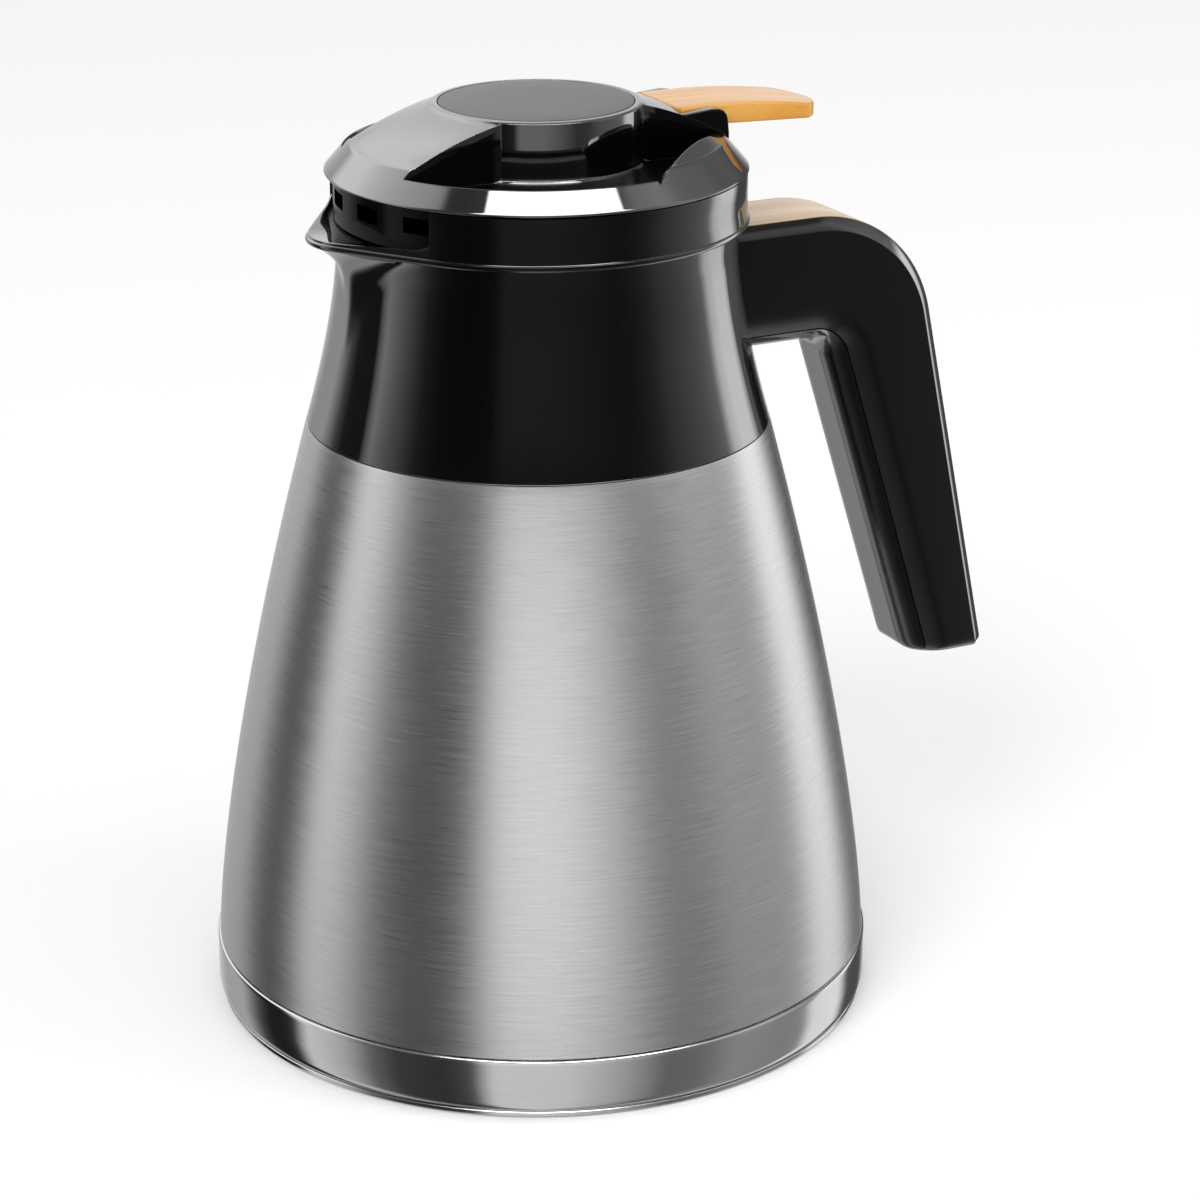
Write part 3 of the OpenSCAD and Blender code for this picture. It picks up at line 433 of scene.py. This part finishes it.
# The pieces that are shown as the frame has them.
for material, painted in (
        (inner_steel, "inner_flask vacuum_plate"),
        (black_satin, "neck_ring stopper_cap lever_arm valve_plug"),
        (skirt_gloss, "stopper_body"),
        (white_silicone, "neck_gasket stopper_gasket stem_seal valve_washer"),
        (small_steel, "handle_screws lid_screws lever_pin valve_stem stem_nut valve_spring"),
        (foot_silicone, "foot_ring"),
        (getter_grey, "getter_disc"),
        (braze, "vacuum_seal")):
    for node in painted.split():
        paint(node, material)


# ---------------------------------------------------------------- steel body and base
SHOULDER_DEPTH, SHOULDER_RISE = 2.8, 18.8
BASE_R, CUP = 80.0, 0.8


def body_profile():
    """Outer wall: skirt in the base, belly, shoulder under the collar, neck and rim."""
    skirt = BODY_R - 1.1
    outer = [(skirt - 3, 4.0), (skirt, 7.0), (skirt, BASE_H), (BODY_R - 0.25, BASE_H + 0.1),
             (BODY_R, BASE_H + 0.45)]
    outer += [(body_at(z), z) for z in
              [BASE_H + 0.6 + (SEAM_H - BASE_H - 1.0) * i / 60 for i in range(61)]]
    shoulder = SEAM_R - SHOULDER_DEPTH
    rise = [(t / 12, (1 - math.cos(math.pi * (t / 12))) / 2) for t in range(13)]
    outer += [(SEAM_R - 0.02, SEAM_H - 0.04), (SEAM_R - 0.3, SEAM_H)]
    outer += [(shoulder + (NECK_R - shoulder) * ease, SEAM_H + 0.5 + SHOULDER_RISE * t)
              for t, ease in rise]
    outer += [(NECK_R, RIM_H - 2.2), (NECK_R + 2.1, RIM_H - 1.9), (NECK_R + 2.1, RIM_H)]
    inner = [(NECK_R - SHELL_WALL, RIM_H), (NECK_R - SHELL_WALL, 163.5)]
    inner += [(shoulder - SHELL_WALL + (NECK_R - shoulder) * ease,
               SEAM_H - 0.2 + SHOULDER_RISE * t) for t, ease in reversed(rise)]
    inner += [(body_at(z) - SHELL_WALL - 0.05, z) for z in
              [SEAM_H - 2.0 - (SEAM_H - BASE_H - 2.6) * i / 30 for i in range(31)]]
    inner += [(skirt - SHELL_WALL, BASE_H), (skirt - SHELL_WALL, 7.4), (skirt - 3.2, 4.8),
              (skirt - 12, 4.8), (skirt - 12, 4.0)]
    return outer + inner


body = lathe("body_shell", body_profile(), 320)
finish_piece(body, "carafe", body_steel, ["outer_shell"])

skirt_in = BASE_R - CUP - 2
foot_in = skirt_in - 8.2
base = lathe("base_band", [
    (0.0, 1.8), (foot_in - 1, 1.8), (foot_in - 1, 0.3), (foot_in, 0.3), (foot_in, 1.8),
    (skirt_in, 1.8), (skirt_in, 0.3), (BASE_R - 0.95, 0.3), (BASE_R - 0.8, 0.45),
    (BASE_R - 0.8, 1.3), (BASE_R - 0.9, 1.42), (BASE_R - 1.25, 1.5), (BASE_R - 1.25, 1.8),
    (BASE_R - 0.85, 1.9), (BASE_R - 0.45, 2.2), (BASE_R - 0.15, 2.8), (BASE_R, 3.7),
    (BASE_R, 8.0), (BASE_R, BASE_H - 1.2), (BASE_R - 0.03, BASE_H - 0.45),
    (BASE_R - 0.12, BASE_H - 0.2), (BASE_R - 0.28, BASE_H - 0.05), (BASE_R - 0.62, BASE_H),
    (BODY_R - CUP - 0.1, BASE_H - 0.1), (BODY_R - CUP - 0.1, 6.0), (BODY_R - CUP - 4, 2.6),
    (0.0, 2.6)], 320)
finish_piece(base, "carafe", base_steel, ["base_cup"])


# ---------------------------------------------------------------- collar with its spout
def beak(turn, mouth, reach, tip):
    """Radius of a teardrop outline at an angle from the spout's direction."""
    centre = reach - tip
    if reach <= mouth + 0.02:
        return mouth
    lean = math.acos((mouth - tip) / centre)
    turn = abs(turn)
    if turn >= lean:
        return mouth
    corner = math.atan2(tip * math.sin(lean), centre + tip * math.cos(lean))
    if turn >= corner:
        return mouth / math.cos(turn - lean)
    reach_sideways = centre * math.sin(turn)
    return centre * math.cos(turn) + math.sqrt(max(0.0, tip ** 2 - reach_sideways ** 2))


FLARE_LOW = 166.0
FLANGE_LOW, FLANGE_TOP, LEDGE_R = 183.9, 186.1, 43.0
LIP_IN_R, LIP_START, RIM_IN_R, COLLAR_WALL = 44.0, 43.5, 47.35, 2.4


def skin(turn, z):
    """Radius of the collar's outside, spout included."""
    mouth = collar_at(z) if z < BEAD_H - 0.6 else MOUTH_R
    t = min(1.0, max(0.0, (z - FLARE_LOW) / (BEAD_H - 0.7 - FLARE_LOW)))
    reach = mouth + (SPOUT_REACH - mouth) * (0.1 * t + 0.9 * t ** 6)
    return beak(turn, mouth, reach, FLARE_TIP_R + (SPOUT_TIP_R - FLARE_TIP_R) * t)


SKIN_ROWS = [SEAM_H + 0.3 + (BEAD_H - 1.0 - SEAM_H - 0.3) * (i / 50) ** 0.85 for i in range(51)]


def collar_section(turn):
    """Closed (radius, height) outline of the collar, at an angle from the spout's direction."""
    inside = abs(math.degrees(turn)) < WINDOW_HALF - 0.1
    edge = skin(turn, BEAD_H)
    points = [(SEAM_R - 0.25, SEAM_H + 0.1)]
    points += [(skin(turn, z), z) for z in SKIN_ROWS]
    for i in range(9):
        lean = math.radians(-90 + 180 * i / 8)
        points.append((edge + 0.55 * math.cos(lean) + 0.02, BEAD_H + 0.72 * math.sin(lean)))
    points.append((edge, BEAD_H + 0.8))
    low = BEAD_H + 0.8
    if inside:
        ahead = edge * math.cos(turn)
        top = TROUGH_H + LIP_H - max(0.0, ahead - LIP_START) * math.tan(math.radians(LIP_DROOP))
        top += 1.4 * max(0.0, (abs(math.degrees(turn)) - 27) / 8) ** 2
    else:
        top = COLLAR_TOP
    points += [(edge, low + (top - 0.35 - low) * t) for t in (0.33, 0.66, 1.0)]
    points += [(edge - 0.1, top - 0.1), (edge - 0.35, top)]
    for i in range(8):
        t = i / 7
        if inside:
            points.append((edge - 0.6 - (edge - 0.6 - LIP_IN_R) * t,
                           top - 0.02 - (top - 0.02 - TROUGH_H) * math.sin(t * math.pi / 2)))
        else:
            points.append((RIM_IN_R, top - 0.1 - (top - 0.1 - TROUGH_H) * t))
    points += [(LEDGE_R, TROUGH_H), (CHANNEL_R, TROUGH_H), (CHANNEL_R, FLANGE_TOP),
               (FLANGE_IN_R, FLANGE_TOP), (FLANGE_IN_R, FLANGE_LOW), (BORE_R, FLANGE_LOW),
               (BORE_R, 177.0)]
    points += [(max(BORE_R, collar_at(z) - COLLAR_WALL), z)
               for z in (172, 166, 160, 154, 149, 146)]
    points.append((SEAM_R - 2.3, SEAM_H + 0.1))
    return points


def place_collar(index, theta):
    """Point of the collar's section at an angle, with the window's edges made steep."""
    turn = theta - 180.0
    if turn < -180.0:
        turn += 360.0
    if abs(abs(turn) - (WINDOW_HALF - 1)) < 0.2:
        turn = math.copysign(WINDOW_HALF - 0.2, turn)
    r, z = collar_section(math.radians(turn))[index]
    return r, z, turn + 180.0


collar = lathe("collar_moulding", collar_section(math.pi), 360, 40.0, place_collar)
finish_piece(collar, "carafe", black_gloss, ["collar"])


# ---------------------------------------------------------------- handle
ROOT_X, GROOVE, PARTING, END_RUN = 44.0, 1.2, 0.35, 3.4
# The grip's end: share of the last step, and how far the section is drawn in.
GRIP_END = ((0.35, 0.0), (0.6, 0.15), (0.8, 0.6), (0.93, 1.3), (1.0, 2.4))
end_out, end_in = (GRIP_OUT_LOW, GRIP_LOW), (GRIP_IN_LOW, GRIP_LOW)
grip_lean = math.atan2(GRIP_OUT_LOW - GRIP_OUT_TOP, ARM_LOW - GRIP_LOW)
inner_lean = math.atan2(GRIP_IN_LOW - GRIP_IN_TOP, ARM_LOW - GRIP_LOW)
out_centre = (GRIP_OUT_TOP - BEND_OUT, HANDLE_TOP - BEND_OUT)
in_centre = (GRIP_IN_TOP - BEND_IN, ARM_LOW - BEND_IN)


def bend(centre, radius, lean, t):
    """Point on the handle's bend, from level at t = 0 to the grip's lean at t = 1."""
    turn = math.pi / 2 - (math.pi / 2 - lean) * t
    return (centre[0] + radius * math.cos(turn), centre[1] + radius * math.sin(turn))


def mix_point(first, second, t):
    return (first[0] + (second[0] - first[0]) * t, first[1] + (second[1] - first[1]) * t)


def toward_end(pair, t):
    """The pair of edge points moved toward the grip's lower end."""
    return mix_point(pair[0], end_out, t), mix_point(pair[1], end_in, t)


def handle_stations():
    """Pairs of an outer and an inner edge point (x, z) along the handle."""
    pairs = []
    bend_out_start = bend(out_centre, BEND_OUT, grip_lean, 0)
    bend_in_start = bend(in_centre, BEND_IN, inner_lean, 0)
    for i in range(8):
        pairs.append((mix_point((ROOT_X, HANDLE_TOP), bend_out_start, i / 8),
                      mix_point((ROOT_X, ARM_LOW), bend_in_start, i / 8)))
    for i in range(33):
        pairs.append((bend(out_centre, BEND_OUT, grip_lean, i / 32),
                      bend(in_centre, BEND_IN, inner_lean, i / 32)))
    start = pairs[-1]
    return pairs + [toward_end(start, i / 25) for i in range(1, 25)]


def round_half(height):
    """Half width of the handle at a height above its inner face."""
    if height >= ROUND:
        return HALF_W
    return HALF_W - ROUND + math.sqrt(ROUND ** 2 - (ROUND - height) ** 2)


def across_pair(pair):
    """Distance between the two edge points, and the function that gives a depth's (x, z)."""
    (ox, oz), (ix, iz) = pair
    depth = math.hypot(ix - ox, iz - oz)
    ax, az = (ix - ox) / depth, (iz - oz) / depth
    return depth, lambda d: (ox + ax * d, oz + az * d)


def handle_ring(pair, groove, inset=0.0, root=False):
    """Section of the handle: strip groove, bevelled face, parting line and rounded inside."""
    depth, at_depth = across_pair(pair)
    strip = FACE_HALF - 0.2
    side = [(strip * 0.5, groove), (strip, groove), (strip + 0.02, 0.05), (strip + 0.08, 0.0),
            (FACE_HALF, 0.0), (FACE_HALF + 0.25, 0.12), (HALF_W - 0.15, BEVEL - 0.25),
            (HALF_W, BEVEL), (HALF_W, BEVEL + 0.5)]
    side.append((HALF_W, depth - ROUND - 0.5))
    side += [(round_half(h), depth - h) for h in (8.5, 7.0, 5.6, 4.3)]
    side += [(round_half(4.2) - PARTING, depth - 4.18), (round_half(4.0) - PARTING, depth - 4.02)]
    side += [(round_half(h), depth - h) for h in (3.9, 2.8, 1.8, 1.0, 0.45, 0.12)]
    side.append((HALF_W - ROUND, depth))
    ring = [(0.0, groove)] + side + [(0.0, depth)] + [(-y, d) for y, d in reversed(side)]
    points = []
    for y, d in ring:
        if inset:
            y = math.copysign(max(0.0, abs(y) - inset), y)
            d = min(max(d, inset), depth - inset)
        x, z = at_depth(d)
        if root:
            x = math.sqrt(max(1.0, (collar_at(z) - 0.8) ** 2 - y * y))
        points.append((x, y, z))
    return points


def in_groove(pair):
    return pair[0][1] > GRIP_LOW + INLAY_END


stations = handle_stations()
rings, lengths, run = [], [], 0.0
for k, pair in enumerate(stations):
    if k:
        run += math.dist(pair[0], stations[k - 1][0])
    rings.append(handle_ring(pair, GROOVE if in_groove(pair) else 0.0, root=(k == 0)))
    lengths.append(run)
for share, inset in GRIP_END:
    rings.append(handle_ring(toward_end(stations[-1], share), 0.0, inset))
    lengths.append(run + END_RUN * share)
handle = loft("handle_moulding", rings, lengths, 28.0)
finish_piece(handle, "carafe", black_gloss, ["handle_shell", "handle_cover"])


def inlay_ring(pair, inset, root=False):
    """Section of the strip in the handle's back."""
    at_depth = across_pair(pair)[1]
    half = FACE_HALF - 0.3 - inset
    top = -0.12 + inset
    ring = [(0.0, top), (half * 0.6, top), (half - 0.35, top), (half - 0.1, top + 0.08),
            (half, top + 0.3), (half, 1.1), (-half, 1.1), (-half, top + 0.3),
            (-half + 0.1, top + 0.08), (-half + 0.35, top), (-half * 0.6, top)]
    points = []
    for y, d in ring:
        x, z = at_depth(d)
        if root:
            x = math.sqrt((collar_at(z) - 0.6) ** 2 - y * y)
        points.append((x, y, z))
    return points


inlay_pairs = [pair for pair in stations if in_groove(pair)]
inlay_rings = [inlay_ring(pair, 0.0, k == 0) for k, pair in enumerate(inlay_pairs)]
inlay_rings.append(inlay_ring(toward_end(inlay_pairs[-1], 0.03), 0.3))
inlay = loft("handle_strip", inlay_rings, lengths[:len(inlay_rings)], 30.0)
finish_piece(inlay, "carafe", pale_wood, ["handle_inlay"])


# ---------------------------------------------------------------- lid
def pick(piece):
    """The piece alone selected and active."""
    clear_selection()
    piece.select_set(True)
    bpy.context.view_layer.objects.active = piece


def carve(piece, tool, operation="DIFFERENCE"):
    """Boolean of the piece with a tool, which is used up."""
    pick(piece)
    modifier = piece.modifiers.new("carve", "BOOLEAN")
    modifier.operation = operation
    modifier.solver = "EXACT"
    modifier.object = tool
    bpy.ops.object.modifier_apply(modifier=modifier.name)
    bpy.data.objects.remove(tool)


def prism(name, outline, low, high):
    """Upright prism over a plan outline."""
    return loft(name, [[(x, y, z) for x, y in outline] for z in (low, high)])


def side_prism(name, outline, half):
    """Prism across the carafe's plane of symmetry over a side outline of (x, z)."""
    return loft(name, [[(x, y, z) for x, z in outline] for y in (-half, half)])


LID_STEPS, CUT_TOP = 240, 232.0
CHAMFER_LOW, CHAMFER_TOP = 204.0, 210.7
DOME_TOP, DOME_SWELL = HUB_TOP - 0.5, 2.2
STEM_ROOM_R, HUB_WELL_R, HUB_FLOOR, DISC_SEAT, DISC_GAP = 5.4, 21.4, 205.4, 217.7, 0.1
RECESS_R, RECESS_REAR, RECESS_LEAN = 44.9, 38.0, math.radians(-47.5)
RECESS_FLOOR, RECESS_BEND_R, RECESS_RISE = 205.6, 33.0, 3.4
BRIDGE_HALF, BRIDGE_END, PLAN_EDGE = 17.5, 2, 60
BRACKET_HALF, BRACKET_OUT, BRACKET_ROUND = 13.4, 43.3, 0.4
BRACKET_SIDE = [
    (18, LID_LOW + 1), (18, 218.4), (21.3, 218.4), (23.0, 217.9), (24.6, 217.1), (26.2, 216.2),
    (28.0, 215.6), (31.2, 215.4), (35.4, 215.7), (38.8, 215.95), (40.6, 215.8), (41.8, 215.3),
    (42.6, 214.4), (42.95, 213.2), (BRACKET_OUT, 210.0), (BRACKET_OUT, LID_LOW + 1)]
LEVER_ROOM = (31.3, 60, 10.8, 209.4, 230)
ARM_ROOM = (16, 31.6, 5.8, HUB_FLOOR + 0.8, 213.9)
# The bevel on a recess' rear edge: where it runs, and its section as (outward, above the edge).
CHORD_START, CHORD_RUN, CHORD_STEPS = -21.4, 45.2, 24
CHORD_SECTION = ((-0.4, -1.45), (1.5, -0.25), (1.5, 3), (-0.4, 3))
CHAMFER_SLOPE = 1.07


def slot_tool(name, start, stop, half, low, high):
    """Box from start to stop along x, across the carafe's plane of symmetry."""
    return prism(name, [(start, -half), (stop, -half), (stop, half), (start, half)], low, high)


def drill(name, radius, floor):
    """Cylinder on the axis, from the floor up to above the lid."""
    return lathe(name, [(0, floor), (radius, floor), (radius, CUT_TOP), (0, CUT_TOP)], LID_STEPS)


def dome_at(r):
    """Height of the lid's dome at radius r."""
    t = (CHAMFER_R - 0.6 - r) / (CHAMFER_R - 0.6 - HUB_R)
    return CHAMFER_TOP + 0.2 + (DOME_TOP - CHAMFER_TOP - 0.2) * t + DOME_SWELL * t * (1 - t)


def lid_profile():
    """Lid before its recesses are cut: rim, chamfer, dome, hub and the well under the disc."""
    points = [(STEM_ROOM_R, LID_LOW), (47.3, LID_LOW), (LID_R - 0.45, LID_LOW),
              (LID_R - 0.12, LID_LOW + 0.1), (LID_R, LID_LOW + 0.3),
              (LID_R - 0.06, LID_LOW + 0.52), (LID_R - 0.3, CHAMFER_LOW + 0.5)]
    points += [(LID_R - 0.3 - 5.0 * t, CHAMFER_LOW + 0.5 + 5.7 * t) for t in (0.5, 1.0)]
    points += [(CHAMFER_R + 0.35, CHAMFER_TOP - 0.14), (CHAMFER_R - 0.05, CHAMFER_TOP + 0.1)]
    points += [(r, dome_at(r))
               for r in (42.4, 40.5, 38.5, 36.5, 34.5, 32.5, 30.5, 28.5, 26.5, 25.1)]
    points += [(HUB_R - 0.1, HUB_TOP - 0.3), (HUB_R - 0.5, HUB_TOP - 0.08),
               (HUB_R - 0.9, HUB_TOP), (DISC_R + 0.35, HUB_TOP), (DISC_R + 0.16, HUB_TOP - 0.08),
               (DISC_R + DISC_GAP, HUB_TOP - 0.3), (DISC_R + DISC_GAP, DISC_SEAT),
               (HUB_WELL_R, DISC_SEAT), (HUB_WELL_R, HUB_FLOOR), (STEM_ROOM_R, HUB_FLOOR)]
    return points


def recess_tool(side):
    """Space of one finger recess: a scoop round the hub, cut off by bridge and rear chord."""
    scoop = [(HUB_R, CUT_TOP), (HUB_R, RECESS_FLOOR + 1.2), (HUB_R + 0.3, RECESS_FLOOR + 0.4),
             (HUB_R + 1.2, RECESS_FLOOR)]
    for i in range(13):
        t = math.radians(90 * i / 12)
        scoop.append((RECESS_BEND_R + (RECESS_R - RECESS_BEND_R) * math.sin(t),
                      RECESS_FLOOR + RECESS_RISE * (1 - math.cos(t))))
    scoop.append((RECESS_R, CUT_TOP))
    tool = lathe("recess_scoop", scoop, LID_STEPS)
    nx, ny = math.cos(RECESS_LEAN), math.sin(RECESS_LEAN)

    def on_chord(y):
        return (RECESS_REAR - ny * y) / nx

    notch = -BRACKET_HALF - 0.1
    plan = [(-PLAN_EDGE, -BRIDGE_HALF), (BRIDGE_END, -BRIDGE_HALF), (BRIDGE_END, notch),
            (on_chord(notch), notch), (on_chord(-PLAN_EDGE), -PLAN_EDGE), (-PLAN_EDGE, -PLAN_EDGE)]
    plan = [(x, side * y) for x, y in plan]
    carve(tool, prism("recess_plan", plan, LID_LOW - 5, CUT_TOP + 4), "INTERSECT")
    return tool


def lid_piece():
    """The lid's moulding with its recesses, the bracket and the rooms for lever and arm."""
    lid = lathe("lid_moulding", lid_profile(), LID_STEPS)
    for side in (1, -1):
        carve(lid, recess_tool(side))
        carve(lid, chord_tool(side))
    carve(lid, bracket_piece(), "UNION")
    carve(lid, drill("hub_room", HUB_WELL_R - 0.01, HUB_FLOOR + 0.01))
    carve(lid, slot_tool("lever_room", *LEVER_ROOM))
    carve(lid, slot_tool("arm_room", *ARM_ROOM))
    even_out(lid, 30)
    return lid


def chord_tool(side):
    """Bevel of even width along the curved rear edge of a recess."""
    nx, ny = math.cos(RECESS_LEAN), -math.sin(RECESS_LEAN)
    rings = []
    for i in range(CHORD_STEPS + 1):
        along = CHORD_START + CHORD_RUN * i / CHORD_STEPS
        r = math.hypot(RECESS_REAR, along)
        edge = dome_at(r)
        if r >= CHAMFER_R - 0.4:
            edge = CHAMFER_TOP + 0.2 - CHAMFER_SLOPE * (r - CHAMFER_R + 0.4)
        ring = []
        for out, rise in CHORD_SECTION:
            reach = RECESS_REAR + out
            ring.append((nx * reach - ny * along, side * (ny * reach + nx * along), edge + rise))
        rings.append(ring)
    return loft("chord_bevel", rings)


def bracket_piece():
    """The lever's bracket: a block with rounded edges."""
    bracket = side_prism("bracket", BRACKET_SIDE, BRACKET_HALF)
    modifier = bracket.modifiers.new("round", "BEVEL")
    modifier.limit_method = "ANGLE"
    modifier.angle_limit = math.radians(50)
    modifier.width = BRACKET_ROUND * MM
    modifier.segments = 3
    pick(bracket)
    bpy.ops.object.modifier_apply(modifier=modifier.name)
    carve(bracket, drill("disc_room", DISC_R + DISC_GAP, DISC_SEAT))
    return bracket


def even_out(piece, angle):
    """Close vertices merged, then smooth shading weighted by the size of the faces."""
    pick(piece)
    bpy.ops.object.mode_set(mode="EDIT")
    close_up(angle, merge=0.00004, thin=0.00002)
    modifier = piece.modifiers.new("even", "WEIGHTED_NORMAL")
    modifier.keep_sharp = True
    modifier.weight = 60
    bpy.ops.object.modifier_apply(modifier=modifier.name)


lid = lid_piece()
finish_piece(lid, "lid", lid_gloss, ["lid_shell"])

# ---------------------------------------------------------------- lid disc and thumb lever
disc = lathe("hub_disc", [(0.0, HUB_TOP - 1.5), (DISC_R, HUB_TOP - 1.5), (DISC_R, HUB_TOP - 0.3),
                          (DISC_R - 0.08, HUB_TOP - 0.12), (DISC_R - 0.3, HUB_TOP - 0.03),
                          (DISC_R - 0.8, HUB_TOP), (DISC_R * 0.6, HUB_TOP + 0.02),
                          (0.0, HUB_TOP + 0.02)], 192)
finish_piece(disc, "lid", disc_metal, ["lid_disc"])

LEVER_W, LEVER_TIP, LEVER_END = 20.8, 71.5, 13.0
LEVER_START, LEVER_TOP, LEVER_LOW = 31.9, 216.2, 211.5
LEVER_FALL_X, LEVER_TOP_FALL, LEVER_LOW_FALL, LEVER_EDGE = 42.0, 2.9, 1.2, 0.55


def lever_ring(x, shrink=0.0):
    """Section of the thumb piece at x, rounded at its corners."""
    centre = LEVER_TIP - LEVER_END
    half = LEVER_W / 2
    if x > centre:
        half = min(half, math.sqrt(max(0.04, LEVER_END ** 2 - (x - centre) ** 2)))
    half = max(0.4, half - shrink)
    t = max(0.0, (x - LEVER_FALL_X) / (LEVER_TIP - LEVER_FALL_X))
    top = LEVER_TOP - LEVER_TOP_FALL * t ** 1.7 - shrink
    low = LEVER_LOW - LEVER_LOW_FALL * t + shrink
    soft = LEVER_EDGE
    ring = []
    corners = ((half - soft, top - soft, 0), (-half + soft, top - soft, 90),
               (-half + soft, low + soft, 180), (half - soft, low + soft, 270))
    for corner_y, corner_z, start in corners:
        for i in range(5):
            turn = math.radians(start + 90 * i / 4)
            ring.append((x, corner_y + soft * math.cos(turn), corner_z + soft * math.sin(turn)))
        if start == 0:
            ring += [(x, corner_y * f, top) for f in (0.66, 0.33, 0.0, -0.33, -0.66)]
        if start == 180:
            ring += [(x, corner_y * f, low) for f in (-0.66, -0.33, 0.0, 0.33, 0.66)]
    return ring


lever_x = [LEVER_START + 0.25, LEVER_START + 0.6] + [33 + i for i in range(33)]
lever_x += [66.0 + i * 0.4 for i in range(12)] + [70.8, 71.1, 71.3, 71.42, 71.5]
lever_rings = [lever_ring(LEVER_START, 0.4)] + [lever_ring(x) for x in lever_x]
lever = loft("thumb_piece", lever_rings, [0] + [x - LEVER_START for x in lever_x], 32.0)
finish_piece(lever, "lever", amber_wood, ["thumb_lever"])


# ---------------------------------------------------------------- studio
# The room as the steel and the gloss mirror it: (azimuth from the camera's, brightness).
CAMERA_AZIMUTH = -115.95
WALL_RING = [
    (-178, 0.95), (-165, 0.72), (-150, 0.52), (-132, 0.60), (-119, 0.10), (-112, 0.02),
    (-97, 0.02), (-90, 1.00), (-74, 0.68), (-62, 0.20), (-52, 0.07), (-34, 0.05), (-24, 0.10),
    (-17, 1.00), (8, 0.95), (26, 0.62), (44, 0.20), (58, 0.24), (72, 0.42), (96, 0.36),
    (105, 0.40), (111, 1.20), (130, 1.25), (138, 0.10), (158, 0.10), (170, 0.80)]
SOFTBOX_RING = [
    (-178, 0.9), (-166, 1.1), (-156, 1.4), (-139, 1.4), (-123, 1.4), (-106, 1.5), (-87, 1.5),
    (-79, 1.3), (-74, 0.25), (40, 0.3), (62, 0.7), (95, 0.9), (106, 0.5), (130, 0.2),
    (160, 0.2), (172, 0.8)]
WALL_END, SOFTBOX_END = (9.0, 17.0), (54.0, 60.0)
CEILING_LEVEL, ROOM_LIGHT = 0.15, 0.85


def studio_world():
    """White to the camera, an even light for matte faces, and the drawn room for mirrors."""
    world = bpy.data.worlds.new("studio")
    bpy.context.scene.world = world
    world.use_nodes = True
    tree = Tree(world.node_tree)
    x, y, z = tree.split(tree.node("ShaderNodeTexCoord", out=0))
    turn = x.maths("ARCTAN2", y, x) * (180.0 / math.pi) - CAMERA_AZIMUTH
    wrapped = turn.maths("WRAP", turn, 180.0, -180.0) / 360.0 + 0.5
    height = z.maths("ARCSINE", z) * (180.0 / math.pi)

    def ring(levels, full):
        stops = [(az / 360.0 + 0.5, grey(level / full)) for az, level in levels]
        return tree.node("ShaderNodeValToRGB", {"stops": stops}, Fac=wrapped) * full

    wall = ring(WALL_RING, 1.25) * (0.85 + height.band(-30.0, 25.0) * 0.55)
    softbox = ring(SOFTBOX_RING, 2.4)
    upper = CEILING_LEVEL + (softbox - CEILING_LEVEL) * (1.0 - height.band(*SOFTBOX_END))

    def panel(az, width, low, high, level, soft):
        across = turn.maths("WRAP", turn - az, 180.0, -180.0)
        across = across.maths("ABSOLUTE", across)
        side = 1.0 - across.band(width - soft, width + soft)
        return side * height.window((low - soft, low + soft), (high - soft, high + soft)) * level

    top = upper + panel(12.0, 59.0, 50.0, 72.0, 10.0, 1.5)
    above = height.band(*WALL_END)
    mirror = wall * (1.0 - above) + top * above
    camera, glossy = tree.ray("Camera"), tree.ray("Glossy")
    level = glossy * mirror + (1.0 - glossy) * ROOM_LIGHT
    level = camera + (1.0 - camera) * level
    back = tree.node("ShaderNodeBackground", Color=grey(1.0), Strength=level)
    tree.node("ShaderNodeOutputWorld", Surface=back)


def studio_floor():
    """Pale paper that takes shadows and is not mirrored in the part."""
    clear_selection()
    bpy.ops.mesh.primitive_plane_add(size=12, location=(0, 0, 0))
    floor = bpy.context.object
    floor.name = floor.data.name = "floor"
    bpy.ops.object.mode_set(mode="EDIT")
    bpy.ops.mesh.subdivide(number_cuts=3)
    bpy.ops.object.mode_set(mode="OBJECT")
    material, tree = new_material("pale floor")
    mixed = tree.tree.nodes.new("ShaderNodeMixShader")
    sources = (tree.ray("Glossy"), tree.node("ShaderNodeBsdfDiffuse", Color=grey(0.97)),
               tree.node("ShaderNodeBsdfTransparent", Color=grey(1.0)))
    for i, source in enumerate(sources):
        tree.tree.links.new(source.out, mixed.inputs[i])
    tree.node("ShaderNodeOutputMaterial", Surface=Socket(tree.tree, mixed.outputs[0]))
    floor.data.materials.append(material)


def soft_light(name, place, target, size, power):
    data = bpy.data.lights.new(name, "AREA")
    data.shape = "RECTANGLE"
    data.size, data.size_y = size
    data.energy = power
    lamp = bpy.data.objects.new(name, data)
    bpy.context.scene.collection.objects.link(lamp)
    lamp.location = place
    lamp.rotation_euler = (Vector(target) - Vector(place)).to_track_quat("-Z", "Y").to_euler()
    lamp.visible_glossy = False


LIGHT_AIM = (0, 0, 0.12)
CAMERA_LENS, SENSOR = 105.27, 36.0
CAMERA_PLACE, CAMERA_AIM = (-0.34706, -0.71328, 0.3891), (0.42610, 0.83624, -0.34520)

studio_world()
studio_floor()
soft_light("key light", (-1.2, -1.0, 1.5), LIGHT_AIM, (1.0, 1.0), 14.0)
soft_light("fill light", (1.3, -0.9, 0.9), LIGHT_AIM, (0.8, 1.0), 6.0)

camera_data = bpy.data.cameras.new("camera")
camera_data.lens = CAMERA_LENS
camera_data.sensor_width = SENSOR
camera = bpy.data.objects.new("camera", camera_data)
bpy.context.scene.collection.objects.link(camera)
camera.location = CAMERA_PLACE
camera.rotation_mode = "QUATERNION"
camera.rotation_quaternion = Vector(CAMERA_AIM).to_track_quat("-Z", "Y")
bpy.context.scene.camera = camera
bpy.context.scene.view_settings.view_transform = "Standard"
